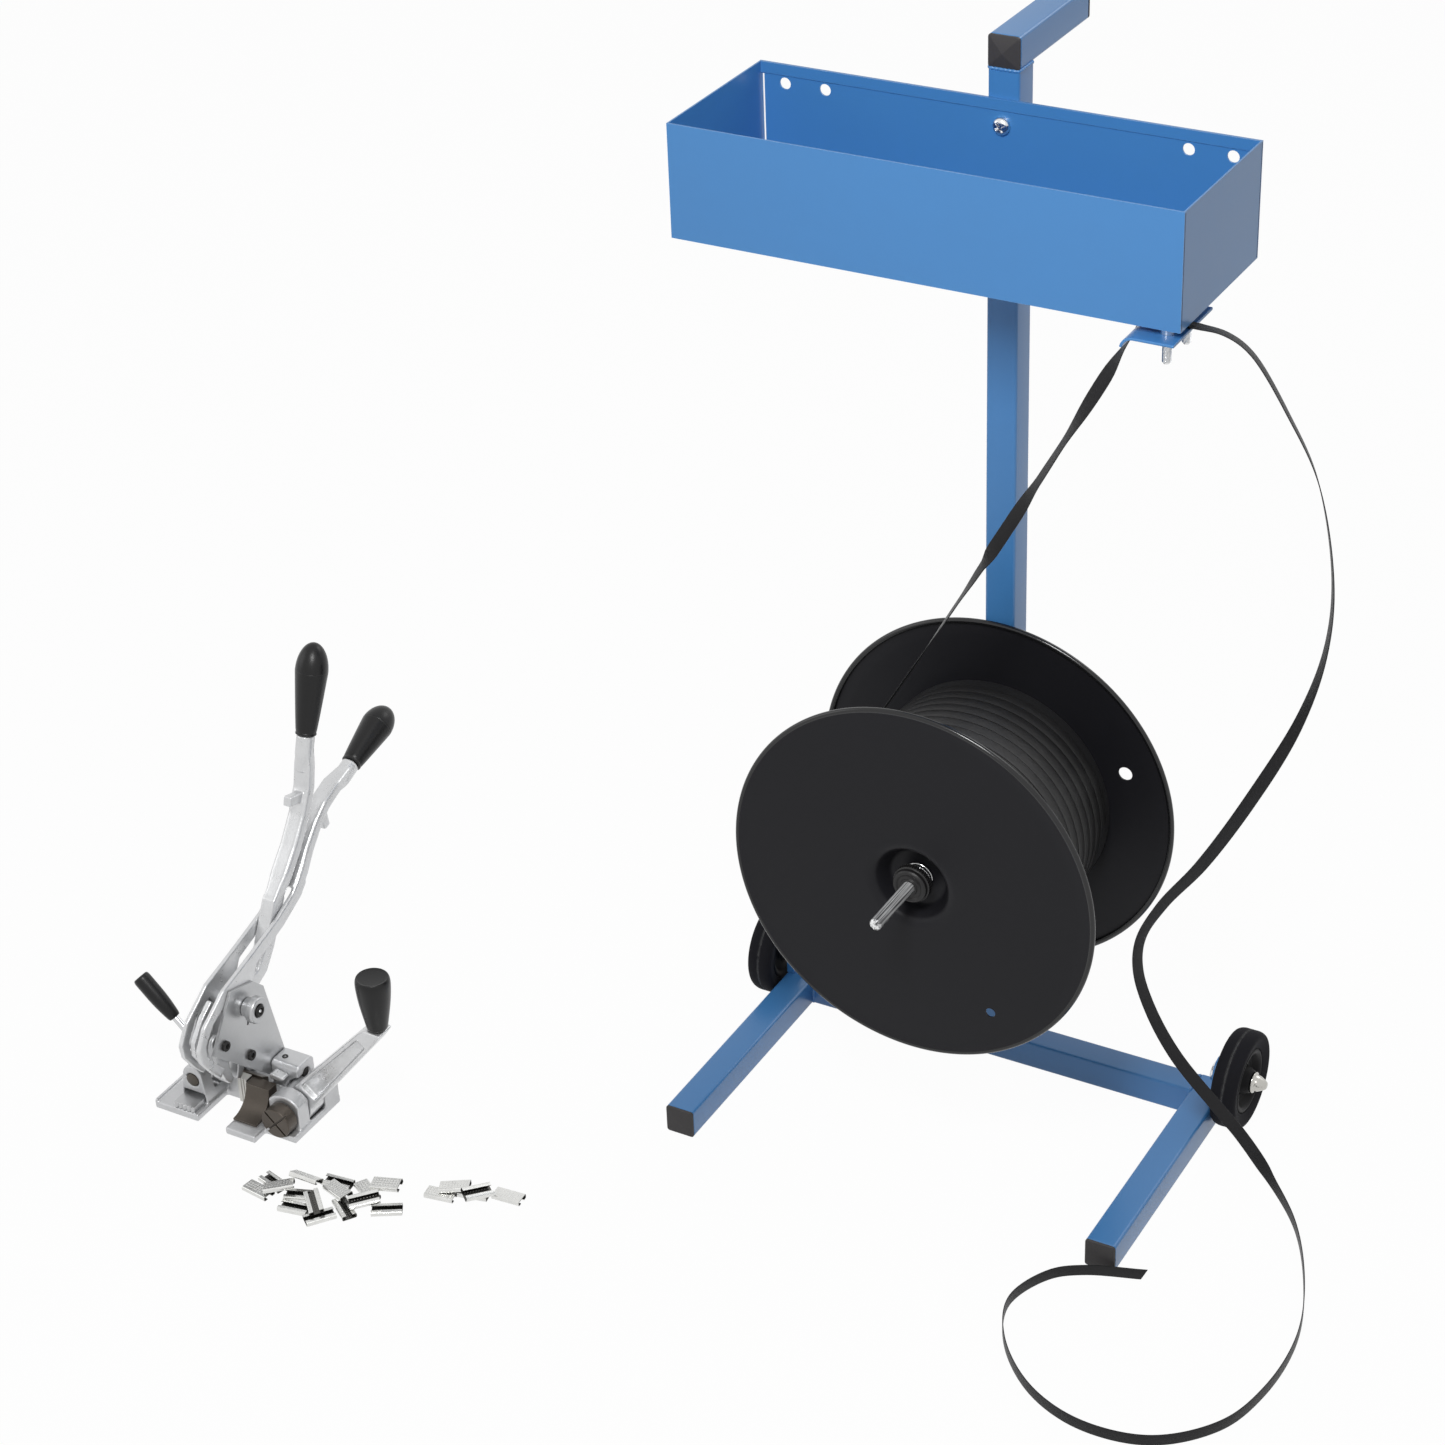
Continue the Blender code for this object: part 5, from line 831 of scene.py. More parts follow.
def weld(name, axis, centre, half, along):
    """A rippled bead round a square joint: radius = BEAD (1 + ripple sin(2 pi s / step)) at length s."""
    loop = rounded(SQUARE * half, TUBE_CORNER, CORNER_STEPS, closed=True)
    ends = np.vstack([loop, loop[:1]])
    travelled = lengths(ends)
    count = int(travelled[-1] / BEAD_STEP * BEAD_ROWS)
    even = np.linspace(0.0, travelled[-1], count, endpoint=False)
    u, v = (np.interp(even, travelled, ends[:, k]) for k in range(2))
    path = spread(axis, centre[0] + u, centre[1] + v, np.full(count, along))
    step = np.roll(path, -1, axis=0) - np.roll(path, 1, axis=0)
    step /= np.linalg.norm(step, axis=1, keepdims=True)
    up = np.zeros(3)
    up[AXIS[axis]] = 1.0
    radius = BEAD * (1 + BEAD_RIPPLE * np.sin(2 * np.pi * even / BEAD_STEP))
    angle = round_turn(BEAD_COLUMNS)[None, :, None]
    ring = np.cross(step, up)[:, None] * np.cos(angle) + up * np.sin(angle)
    points = path[:, None] + radius[:, None, None] * ring
    points[..., 2] = np.maximum(points[..., 2], 0.0)
    return dress(surface(name, points, wrap_rows=True), ENAMEL, "root")


low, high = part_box("base_crossbar")
bead_half = half_size("base_crossbar", "z") - BEAD / 3
column = flat_centre("column", "z")
weld("column_foot_weld", "z", column, bead_half, high.z)
weld("column_head_weld", "z", column, bead_half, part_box("column")[1].z)
for side, place in (("left", low.x), ("right", high.x)):
    weld(f"{side}_crossbar_weld", "x", flat_centre("base_crossbar", "x"), bead_half, place)
print("weld beads made")

# %% [markdown]
# ## Folded sheet and small flat parts
#
# The tray is one folded sheet, so its faces are already right and only its edges need care. A copy of the
# solid is merged, its flat triangles are dissolved into whole faces, and a narrow bevel with hardened normals
# gives each fold and rim its line of light. The same helper serves every flat part of the hand tool.

# %% Softened copies of solids
FLAT = math.radians(0.6)
FOLD = math.radians(28)


def copy_of(name, node):
    """A new mesh with a CAD solid's points and triangles, merged, with flat neighbours dissolved."""
    source = frame["nodes"][node].data
    points = np.empty(len(source.vertices) * 3, np.float32)
    source.vertices.foreach_get("co", points)
    corners = np.empty(len(source.loops), np.int32)
    source.loops.foreach_get("vertex_index", corners)
    mesh = bpy.data.meshes.new(name)
    mesh.from_pydata(points.reshape(-1, 3), [], corners.reshape(-1, 3).tolist())
    shape = bmesh.new()
    shape.from_mesh(mesh)
    bmesh.ops.remove_doubles(shape, verts=shape.verts[:], dist=MERGE)
    bmesh.ops.dissolve_limit(shape, angle_limit=FLAT, verts=shape.verts[:], edges=shape.edges[:])
    shape.to_mesh(mesh)
    shape.free()
    return mesh


def bevelled(made, width, segments=2):
    """Round every edge sharper than FOLD by width, with the flat faces still shaded flat."""
    bevel = made.modifiers.new("soft edges", "BEVEL")
    bevel.width = width
    bevel.segments = segments
    bevel.limit_method = "ANGLE"
    bevel.angle_limit = FOLD
    bevel.harden_normals = True
    return made


def softened(name, node, width, look, body="root", segments=2):
    """A copy of a solid whose sharp edges are bevelled by width."""
    made = new_object(name, copy_of(name, node), FOLD)
    return dress(bevelled(made, width, segments), look, body, node)


TRAY_FOLD = 0.0005
GUIDE_EDGE = 0.0007
BRACKET_EDGE = 0.0008
softened("folded_tray", "tray", TRAY_FOLD, ENAMEL)
softened("guide_plate", "strap_guide_plate", GUIDE_EDGE, ENAMEL)
softened("left_bracket", "left_axle_bracket", BRACKET_EDGE, ENAMEL)
softened("right_bracket", "right_axle_bracket", BRACKET_EDGE, ENAMEL)
print("sheet parts softened")

# %% Painted seam shade at the tray's end
SEAM = 0.0009
SEAM_INSET = 0.0014
SEAM_PROUD = 0.00012
low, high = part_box("tray")


def seam_shade_strip(name, y):
    """A dark strip of painted shade in the upright joint where the tray's end meets a long side, hardly proud
    of the end.
    """
    x = high.x + np.array([-SEAM, SEAM_PROUD, SEAM_PROUD, -SEAM])
    wide = y + np.array([0.0, 0.0, SEAM, SEAM])
    tall = np.array([low.z + SEAM_INSET, high.z - SEAM_INSET])[:, None]
    return dress(surface(name, spread("z", x[None], wide[None], tall), sharp=FOLD), SEAM_SHADE, "root")


seam_shade_strip("front_end_seam", low.y + SEAM_INSET)
seam_shade_strip("rear_end_seam", high.y - SEAM_INSET - SEAM)
print("seams made")

# %% [markdown]
# ## The tray's screw and the guide's bolts
#
# The screw's head is a shallow dome with a cross recess. In polar coordinates the dome is a height over
# radius and angle, and the cross is subtracted from it where a point lies near either arm. The bolts are
# turned, with six flats on heads and nuts and a helical wave for the thread.

# %% Screw
SCREW_RISE = 0.006
SCREW_EDGE = 0.35
SCREW_COLUMNS = 160
CROSS_LONG = 0.62
CROSS_WIDE = 0.15
CROSS_DEEP = 0.42
CROSS_TURN = math.radians(33)
CROSS_FLANK = (0.07, 0.25)
SCREW_SHARP = math.radians(50)


def arm(along, across):
    """1 inside one arm of the cross, falling to 0 over a small flank."""
    inside = np.clip((CROSS_WIDE - np.abs(across)) / CROSS_FLANK[0], 0, 1)
    return inside * np.clip((CROSS_LONG - np.abs(along)) / CROSS_FLANK[1], 0, 1)


def pan_head(name, node):
    """Height H (e + (1 - e) (1 - r^3)^0.6) minus a cross recess, over a unit disc, standing out along -Y."""
    centre = flat_centre(node, "y")
    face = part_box(node)[0].y + SCREW_RISE
    r = np.concatenate([np.linspace(0.0, 0.96, 48), np.linspace(0.965, 1.0, 5)])[:, None]
    a = round_turn(SCREW_COLUMNS)[None, :]
    x, y = r * np.cos(a - CROSS_TURN), r * np.sin(a - CROSS_TURN)
    cross = np.maximum(arm(x, y), arm(y, x))
    height = SCREW_RISE * (SCREW_EDGE + (1 - SCREW_EDGE) * (1 - r ** 3) ** 0.6 - CROSS_DEEP * cross)
    r = half_size(node, "x") * np.vstack([r, [[1.0], [0.0]]])
    height = np.vstack([height, np.zeros((2, a.size))])
    points = spread("y", centre[0] + r * np.cos(a), centre[1] + r * np.sin(a), face - height)
    return dress(surface(name, points, caps=False, sharp=SCREW_SHARP), ZINC, "root", node)


pan_head("pan_screw", "tray_screw")
print("screw made")

# %% Bolts
THREAD_PITCH = 0.00125
THREAD_DEPTH = 0.00042
THREAD_ROWS = 8
SHANK = 0.004
BOLT_HEAD = 0.0065
BOLT_HEAD_HEIGHT = 0.005
BOLT_HANG = 0.024
BOLT_SOFT = 0.0007
SPACER = 0.006
SPACER_ENDS = (0.003, 0.0018)


def hexagon(angle):
    """The inner radius of a hexagon at an angle, as a share of its corner radius."""
    return math.cos(math.pi / 6) / np.cos((angle + math.pi / 6) % (math.pi / 3) - math.pi / 6)


def bolt_wave(angle, radius, along):
    """Six flats on the widest rows, and a helix on the rows that have the thread's radius."""
    flats = np.where(radius > BOLT_HEAD - 0.0001, radius * (hexagon(angle) - 1), 0.0)
    turn = THREAD_DEPTH * np.sin(angle + 2 * np.pi * along / THREAD_PITCH)
    return np.where(np.isclose(radius, SHANK - THREAD_DEPTH), turn, flats)


def guide_bolt(name, node):
    """A bolt down Z: hexagon head, spacer, hexagon nut and a threaded end."""
    tip, top = (corner.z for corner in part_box(node))
    nut_top = tip + BOLT_HANG
    nut = nut_top - BOLT_HEAD_HEIGHT
    seat = top - BOLT_HEAD_HEIGHT
    lower, upper = nut_top + SPACER_ENDS[0], seat - SPACER_ENDS[1]
    narrow = BOLT_HEAD - 3 * BOLT_SOFT
    head = [(0, top), (narrow, top), (BOLT_HEAD, top - BOLT_SOFT), (BOLT_HEAD, seat), (SHANK, seat),
            (SHANK, upper), (SPACER, upper), (SPACER, lower), (SHANK, lower), (SHANK, nut_top),
            (BOLT_HEAD, nut_top), (BOLT_HEAD, nut + BOLT_SOFT), (narrow, nut), (SHANK, nut)]
    count = int((nut - tip - BOLT_SOFT) / THREAD_PITCH * THREAD_ROWS)
    thread = np.linspace((SHANK - THREAD_DEPTH, nut), (SHANK - THREAD_DEPTH, tip + 2 * BOLT_SOFT), count)
    profile = np.vstack([head, thread, [(SHANK - 2 * BOLT_SOFT, tip), (0, tip)]])
    turned(name, "z", flat_centre(node, "z"), profile, ZINC, "root", node, steps=72, wave=bolt_wave)


guide_bolt("front_guide_bolt", "guide_bolt_front")
guide_bolt("rear_guide_bolt", "guide_bolt_rear")
print("bolts made")

# %% [markdown]
# ## Wheels
#
# Each wheel has a solid rubber tyre with a moulding seam round its middle, a deep black hub and a bright
# push-on cap over the end of its stub axle. They are turned shapes, so one profile each is enough, with
# rounded corners. A profile is often a list of shares, stretched to the part's own radius and length.

# %% Wheels
TYRE_SEAM = 0.0005
SEAM_ROWS = [(0, -3), (-1, -2), (-1, -1), (0.4, 0), (-1, 1), (-1, 2), (0, 3)]
HUB_BOSS = 0.011
HUB_BORE = 0.0063
PIN = 0.006


def scaled(shares, radius, start, end):
    """A profile from rows of (share of a radius, share of the way from start to end)."""
    return np.array(shares, float) * (radius, end - start) + (0, start)


def wheel(side, name):
    """Tyre, hub, axle and cap of one wheel, from the CAD boxes; profiles run from the leg outwards."""
    centre = flat_centre(f"{name}_tyre", "x")

    def size(part):
        """A part's near end, far end and radius."""
        low, high, radius = extent(f"{name}_{part}", "x", "z")
        return *sorted((abs(low), abs(high))), radius

    def turn(piece, part, profile, look, body, steps, soft, closed=True):
        turned(f"{name}_{piece}", "x", centre, np.array(profile) * (1, side), look, body, f"{name}_{part}",
               steps=steps, soft=soft, fine=5, closed=closed)

    near, far, radius = size("tyre")
    rim = size("hub")[2]
    flank = np.array([(rim / radius, 0.12), (0.90, 0), (0.965, 0.05), (1, 0.22)])
    seam = np.array(SEAM_ROWS) * TYRE_SEAM + (radius, (near + far) / 2)
    tyre = np.vstack([scaled(flank, radius, near, far), seam, scaled(flank[::-1], radius, far, near)])
    turn("rubber_tyre", "tyre", tyre, TYRE, f"{name}_wheel", steps=128, soft=0.0022)
    hub = [(HUB_BORE, 0), (HUB_BOSS, 0), (HUB_BOSS + 0.004, 0.25), (rim - 0.007, 0.25), (rim - 0.003, 0.13),
           (rim, 0.13), (rim, 0.87), (rim - 0.0022, 0.91), (rim - 0.005, 0.84), (rim - 0.0085, 0.58),
           (HUB_BOSS + 0.005, 0.58), (HUB_BOSS, 1), (HUB_BORE, 1)]
    hub = scaled(hub, 1, near, far)
    turn("dished_hub", "hub", hub, HUB_BLACK, f"{name}_wheel", steps=128, soft=0.0014)
    base, tip, flare = size("axle_cap")
    cap = [(0, base), (flare * 0.97, base), (flare, base + 0.0007), (flare * 0.98, base + 0.0022),
           (flare * 0.80, base + 0.0030), (flare * 0.74, base + 0.0062), (flare * 0.46, tip - 0.0025),
           (flare * 0.30, tip - 0.0004), (0, tip)]
    turn("push_cap", "axle_cap", cap, NICKEL, "root", steps=96, soft=0.0012, closed=False)
    start, end, head = size("stub_axle")
    axle = [(0, start), (head - 0.001, start), (head, start + 0.001), (head, start + 0.004),
            (PIN, start + 0.004), (PIN, end), (0, end)]
    turn("axle_pin", "stub_axle", axle, ZINC, "root", steps=64, soft=0.0006, closed=False)


wheel(-1, "left")
wheel(1, "right")
print("wheels made")

# %% [markdown]
# ## The reel
#
# Two pressed steel flanges with rolled rims hold the roll of strap. The front one has a dished cup in the
# middle for the brake: a bright spring behind a black knurled collar, on a plain bright axle. All of it is
# turned about one axis, and the finger holes are then drilled with a Boolean, which is applied so that the
# mesh is final.

# %% Reel helpers
REEL_AXIS = (0.0, float(flat_centre("reel_axle", "y")[1]))
SHEET = 0.0015
RIM_ROLL = 0.0028
RIM_COLUMNS = 24
FLANGE_STEPS = 240
FLANGE_EDGE = half_size("front_flange", "x")


def applied(made):
    """The mesh of a piece with its modifiers applied."""
    bpy.context.view_layer.update()
    return bpy.data.meshes.new_from_object(made.evaluated_get(bpy.context.evaluated_depsgraph_get()))


def drilled(made, cutter):
    """Subtract a cutter from a piece, apply the result and remove the cutter."""
    step = made.modifiers.new("drill", "BOOLEAN")
    step.operation = "DIFFERENCE"
    step.solver = "EXACT"
    step.object = cutter
    mesh = applied(made)
    made.modifiers.remove(step)
    made.data = mesh
    bpy.data.objects.remove(cutter)
    mesh.shade_smooth()
    mesh.set_sharp_from_angle(angle=SMOOTH)
    return made


def rim_bead(name, face, inward):
    """The rolled rim: a full circle of radius RIM_ROLL turned about the reel's axis at the flange's edge."""
    a = round_turn(RIM_COLUMNS)
    across = face + inward * RIM_ROLL * (1 + np.sin(a))
    circle = np.column_stack([FLANGE_EDGE + RIM_ROLL * (np.cos(a) - 1), across])
    return turned(name, "y", REEL_AXIS, circle, RIM_BLACK, "reel", steps=FLANGE_STEPS, closed=True)


# %% Flanges
CUP = 0.039
CUP_FLOOR = 0.029
CUP_LIP = 0.004
BORE = 0.0063
STIFFENER = (FLANGE_EDGE * 0.93, 0.0006)
HOLE_CIRCLE = 0.144
FRONT_HOLE = (0.0049, math.radians(305))
REAR_HOLE = (0.007, math.radians(22))
HOLE_STEPS = 48


def flange(name, face, inward, profile, soft, hole, angle):
    """A pressed disc with its rolled rim and one finger hole."""
    made = lathe(f"{name}_disc", "y", REEL_AXIS, rounded(profile, soft, 6), FLANGE_STEPS, closed=True)
    rim_bead(f"{name}_rim", face, inward)
    place = (HOLE_CIRCLE * math.cos(angle), REEL_AXIS[1] + HOLE_CIRCLE * math.sin(angle))
    low, high = face - 4 * SHEET, face + 4 * SHEET
    drill = lathe("drill", "y", place, [(0, low), (hole, low), (hole, high), (0, high)], HOLE_STEPS)
    dress(drilled(made, drill), FLANGE_BLACK, "reel", f"{name}_flange")


front_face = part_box("front_flange")[0].y
cup_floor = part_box("front_flange")[1].y
inner = front_face + SHEET
edge, dip = STIFFENER
dish = [
    (FLANGE_EDGE - RIM_ROLL, inner), (edge, inner + dip), (CUP + CUP_LIP, inner + 0.0002),
    (CUP, inner + 0.002), (CUP_FLOOR + SHEET, cup_floor), (BORE, cup_floor), (BORE, cup_floor - SHEET),
    (CUP_FLOOR, cup_floor - SHEET), (CUP - SHEET, front_face + 0.0026), (CUP + CUP_LIP, front_face),
    (edge, front_face + dip), (FLANGE_EDGE - RIM_ROLL, front_face + 0.0003),
]
soft = [0.0002, 0.004, 0.004, 0.002, 0.003, 0.0003, 0.0003, 0.004, 0.0035, 0.0045, 0.006, 0.0002]
flange("front", front_face, 1, dish, soft, *FRONT_HOLE)

rear_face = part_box("rear_flange")[1].y
inner = rear_face - SHEET
disc = [(FLANGE_EDGE - RIM_ROLL, inner), (edge, inner - dip), (BORE, inner), (BORE, rear_face),
        (edge, rear_face - dip), (FLANGE_EDGE - RIM_ROLL, rear_face - 0.0003)]
flange("rear", rear_face, -1, disc, [0.0002, 0.006, 0.0003, 0.0003, 0.006, 0.0002], *REAR_HOLE)
print("flanges made, edge radius", round(FLANGE_EDGE, 4))

# %% [markdown]
# ## The roll of strap
#
# The supply is wound in flat turns side by side, so its outer layer is one long helix with a gap of a hair
# between turns. The section of the strap is carried along that helix, a little unevenly, as a machine winds
# it. Under it lies a plain drum for the layers below.

# %% Winding
TURN_POINTS = 150
WINDING_UNEVEN = 0.00012
WINDING_PITCH = 0.0128
SIDEWAYS_WAVES = (0.37, 0.81)
RADIUS_WAVE = 0.83

low, high, winding_radius = extent("strap_winding", "y", "x")
turns = int((high - low - STRAP) / WINDING_PITCH + 0.5)
angle = np.linspace(0.0, 2 * np.pi * turns, turns * TURN_POINTS + 1)
slow, fast = SIDEWAYS_WAVES
uneven = WINDING_UNEVEN * (np.sin(angle * slow) + np.sin(angle * fast + 1.0))
radius = winding_radius - STRAP_THICK / 2 - 0.5 * WINDING_UNEVEN * (1 + np.sin(angle * RADIUS_WAVE))
travel = high - STRAP / 2 - WINDING_PITCH * angle / (2 * np.pi) + uneven
helix = spread("y", radius * np.cos(angle), REEL_AXIS[1] + radius * np.sin(angle), travel)
winding = lay_strap("wound_strap", helix, np.tile(REAR, (len(helix), 1)))
dress(winding, STRAP_PAINTED_SHEEN, "reel", "strap_winding")
print("winding:", turns, "turns,", round(lengths(helix)[-1], 2), "m of strap in the outer layer")

# %% Roll under it
ROLL_GAP = 0.0003
ROLL_SOFT = 0.0004
low, high, outside = extent("strap_roll", "y", "x")
core = half_size("reel_core", "x") + ROLL_GAP
ring = [(core, low), (outside, low), (outside, high), (core, high)]
turned("roll_of_strap", "y", REEL_AXIS, ring, LAYER, "reel", "strap_roll", steps=180, soft=ROLL_SOFT, fine=3,
       closed=True)
print("roll made, radius", round(outside, 4))

# %% [markdown]
# ## The feed
#
# From the roll the strap runs taut to the guide under the tray. The run is a common tangent of two circles,
# the roll and the guide's rolled lip, with a slight sag, followed by an arc over the lip and a level exit.
# Strap that comes off a reel is never quite flat, so the run has two lazy twists, which come and go along it.

# %% Feed strap
GUIDE_LIP = 0.012
GUIDE_LENGTH = 0.036
FEED_SAG = 0.004
FEED_TWIST = [(0.0, 0), (0.25, 0), (0.42, 17), (0.50, 34), (0.545, 92), (0.60, 88), (0.69, 36), (0.76, 31),
              (0.88, 82), (0.97, 14), (1.0, 0)]
FEED_ROWS = 90
LIP_ROWS = 24
EXIT_ROWS = 12
CLEAR = 0.0003


def eased(t, places):
    """A value through (t, value) pairs, eased with a half cosine from each to the next."""
    at, value = np.array(places, float).T
    k = np.clip(np.searchsorted(at, t, side="right") - 1, 0, len(at) - 2)
    share = (1 - np.cos(np.pi * np.clip((t - at[k]) / (at[k + 1] - at[k]), 0, 1))) / 2
    return value[k] + (value[k + 1] - value[k]) * share


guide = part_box("strap_guide_plate")[1]
hub = np.array(REEL_AXIS)
lip = np.array([guide.x - GUIDE_LENGTH, guide.z - GUIDE_LIP])
bend = GUIDE_LIP + CLEAR + STRAP_THICK / 2
off = winding_radius + CLEAR + STRAP_THICK / 2
rise = lip - hub
slope = math.atan2(rise[1], rise[0]) + math.acos((off - bend) / np.hypot(*rise))
normal = np.array([math.cos(slope), math.sin(slope)])
t = np.linspace(0.0, 1.0, FEED_ROWS)[:, None]
leave = hub + normal * off
run = leave + (lip + normal * bend - leave) * t - normal * FEED_SAG * 4 * t * (1 - t)
a = np.linspace(slope, math.pi / 2, LIP_ROWS)[1:, None]
over = lip + bend * np.hstack([np.cos(a), np.sin(a)])
level = np.linspace(over[-1], (STRAP_EXIT[0], STRAP_EXIT[2]), EXIT_ROWS)[1:]
line = np.vstack([run, over, level])
feed_path = spread("y", line[:, 0], line[:, 1], np.full(len(line), STRAP_EXIT[1]))
share = lengths(feed_path) / lengths(feed_path)[len(run) - 1]
twist = np.radians(eased(share, FEED_TWIST))[:, None]
across = REAR * np.cos(twist) + np.cross(tangents(feed_path), REAR) * np.sin(twist)
dress(lay_strap("feed_strap", feed_path, across), STRAP_BLACK, "root", "strap_feed")
print("feed:", round(lengths(feed_path)[-1], 3), "m")

# %% [markdown]
# ## Brake and axle
#
# The collar is knurled at its rear half, which is a small wave on the radius, and its front is recessed. The
# spring is a helix of bright wire, and the axle is plain bar with a chamfered end, a shoulder against the
# column and a head behind it.

# %% Collar
COLLAR_TEETH = 44
TOOTH = 0.0008
COLLAR = [(1, 1), (1, 0.52), (0.90, 0.44), (0.90, 0.16), (0.80, 0.02), (0.70, 0.02), (0.62, 0.16),
          (0.46, 0.14), (0.42, 0)]
KNURL_FROM = 0.97
low, high, collar_edge = extent("brake_collar", "y", "x")


def knurl(angle, radius, along):
    """Teeth on the collar's widest part only."""
    return np.where(radius > collar_edge * KNURL_FROM, TOOTH * (np.cos(COLLAR_TEETH * angle) - 1), 0.0)


collar = [(BORE, high), *scaled(COLLAR, collar_edge, low, high), (BORE, low)]
turned("knurled_collar", "y", REEL_AXIS, collar, MOULDED, "brake", "brake_collar", steps=COLLAR_TEETH * 8,
       soft=0.0007, closed=True, wave=knurl)
print("collar made")

# %% Spring and axle
WIRE = 0.0012
COIL_TURNS = 2
COIL_ROWS = 160
WIRE_COLUMNS = 16

low, high, coil = extent("brake_spring", "y", "x")
coil = coil - WIRE
angle = np.linspace(0.0, 2 * np.pi * COIL_TURNS, COIL_ROWS)
travel = np.linspace(high - WIRE, low + WIRE, COIL_ROWS)
path = spread("y", coil * np.cos(angle), REEL_AXIS[1] + coil * np.sin(angle), travel)
a = round_turn(WIRE_COLUMNS)
circle = WIRE * np.column_stack([np.cos(a), np.sin(a)])
dress(sweep("brake_coil", path, np.tile(REAR, (COIL_ROWS, 1)), circle), ZINC, "root", "brake_spring")

low, high, shoulder = extent("reel_axle", "y", "x")
near, far = (corner.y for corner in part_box("column"))
behind, before, flange_back = far + CLEAR, near - CLEAR, rear_face + CLEAR
axle = [(0, high), (shoulder * 0.8, high), (shoulder, behind + CLEAR), (shoulder, behind), (PIN, behind),
        (PIN, before), (shoulder, before), (shoulder, flange_back), (PIN, flange_back), (PIN, low + 0.0022),
        (PIN - 0.002, low), (0, low)]
turned("bright_axle", "y", REEL_AXIS, axle, AXLE_ZINC, "root", "reel_axle", steps=96, soft=0.0005, fine=3)
print("spring and axle made")

# %% [markdown]
# ## The hand tool's castings
#
# The tool's body and levers are castings and forgings: no corner on them is sharp, and arms flow into hubs.
# Bevels would struggle where so many shapes meet. A voxel remesh takes the joined solids as one volume
# instead, gives it an even skin, and a few rounds of smoothing then roll every corner over, as a sand mould
# does.

# %% Places on the tool
TOOL = np.array((-0.558, -0.453, 0.0))
PIVOT = {joint["name"]: np.array(joint["pos_m"])
         for joint in frame["record"]["behaviour"]["joints"] if "pos_m" in joint}


def at_head(y, z):
    """A place in the head's middle plane, from the tool's own y and z."""
    return np.array((PIVOT["head_tilt"][0], TOOL[1] + y, TOOL[2] + z))


def turned_along(name, start, end, profile, steps):
    """A profile turned about a line of direction d: point = start + s d + r (a cos t + b sin t)."""
    profile = np.asarray(profile, float)
    along = (end - start) / np.linalg.norm(end - start)
    side = np.cross(along, REAR if abs(along[0]) > 0.5 else RIGHT)
    side /= np.linalg.norm(side)
    angle = round_turn(steps)[None, :, None]
    ring = side * np.cos(angle) + np.cross(along, side) * np.sin(angle)
    points = start + along * profile[:, None, 1:] + ring * profile[:, None, :1]
    return surface(name, points, caps=False)


# %% Castings
CAST_VOXEL = 0.00095
FORGE_VOXEL = 0.0008
PAWL_VOXEL = 0.0006
SKIN_WELD = 0.35
FERRULE = 0.0092
FERRULE_NECK = 0.0058
FERRULE_BACK = 0.034
FERRULE_STRAIGHT = 0.014
FERRULE_FRONT = 0.0036


def cast(name, node, voxel, rounds, look, body, *extra):
    """A solid, with further shapes joined to it, remeshed at the voxel size and smoothed some rounds."""
    joined = bmesh.new()
    joined.from_mesh(copy_of(name, node))
    for shape in extra:
        joined.from_mesh(shape.data)
        bpy.data.objects.remove(shape)
    mesh = bpy.data.meshes.new(name)
    joined.to_mesh(mesh)
    joined.free()
    made = bpy.data.objects.new(name, mesh)
    bpy.context.scene.collection.objects.link(made)
    skin = made.modifiers.new("skin", "REMESH")
    skin.mode = "VOXEL"
    skin.voxel_size = voxel
    done = applied(made)
    made.modifiers.clear()
    soft = bmesh.new()
    soft.from_mesh(done)
    bmesh.ops.remove_doubles(soft, verts=soft.verts[:], dist=SKIN_WELD * voxel)
    for _ in range(rounds):
        bmesh.ops.smooth_vert(soft, verts=soft.verts[:], factor=0.5, use_axis_x=True, use_axis_y=True,
                              use_axis_z=True)
    soft.to_mesh(done)
    soft.free()
    made.data = done
    done.name = name
    done.shade_smooth()
    print(name, len(done.polygons), "faces")
    return dress(made, look, body, node)


def ferrule(start, end):
    """The round socket at a lever's end: a neck that flares with a cosine to a short cylinder."""
    t = np.linspace(0.0, 1.0, 14)
    flare = FERRULE_NECK + (FERRULE - FERRULE_NECK) * (1 - np.cos(np.pi * t)) / 2
    along = -FERRULE_BACK + (FERRULE_BACK - FERRULE_STRAIGHT) * t
    profile = np.vstack([[(0, -FERRULE_BACK)], np.column_stack([flare, along]),
                         [(FERRULE, FERRULE_FRONT), (0, FERRULE_FRONT)]])
    return turned_along("socket", start, end, profile, steps=48)


FRONT_GRIP = at_head(0.182, 0.352), at_head(0.213, 0.445)
REAR_GRIP = at_head(0.246, 0.283), at_head(0.321, 0.311)
cast("tool_casting", "tool_base", CAST_VOXEL, 7, CAST, "root")
cast("tension_arm", "tension_lever", FORGE_VOXEL, 10, FORGED, "tension")
cast("single_lever", "front_lever", FORGE_VOXEL, 9, FORGED, "front_lever", ferrule(*FRONT_GRIP))
cast("forked_lever", "rear_lever", FORGE_VOXEL, 9, FORGED, "rear_lever", ferrule(*REAR_GRIP))
cast("upper_jaw", "front_jaw", FORGE_VOXEL, 6, FORGED, "front_jaw")
cast("lower_jaw", "rear_jaw", FORGE_VOXEL, 4, PLATE, "rear_jaw")
cast("pawl_block", "pawl", PAWL_VOXEL, 5, FORGED, "pawl")
cast("gripper_cam", "gripper_lever", FORGE_VOXEL, 6, FORGED, "gripper")

# %% [markdown]
# ## Grips and knob
#
# The grips are moulded plastic pushed on the levers: a straight taper, a round end and a fine parting line
# where the two halves of the mould met. Each is turned about its own slanted axis, hollow where the lever's
# stud goes in.

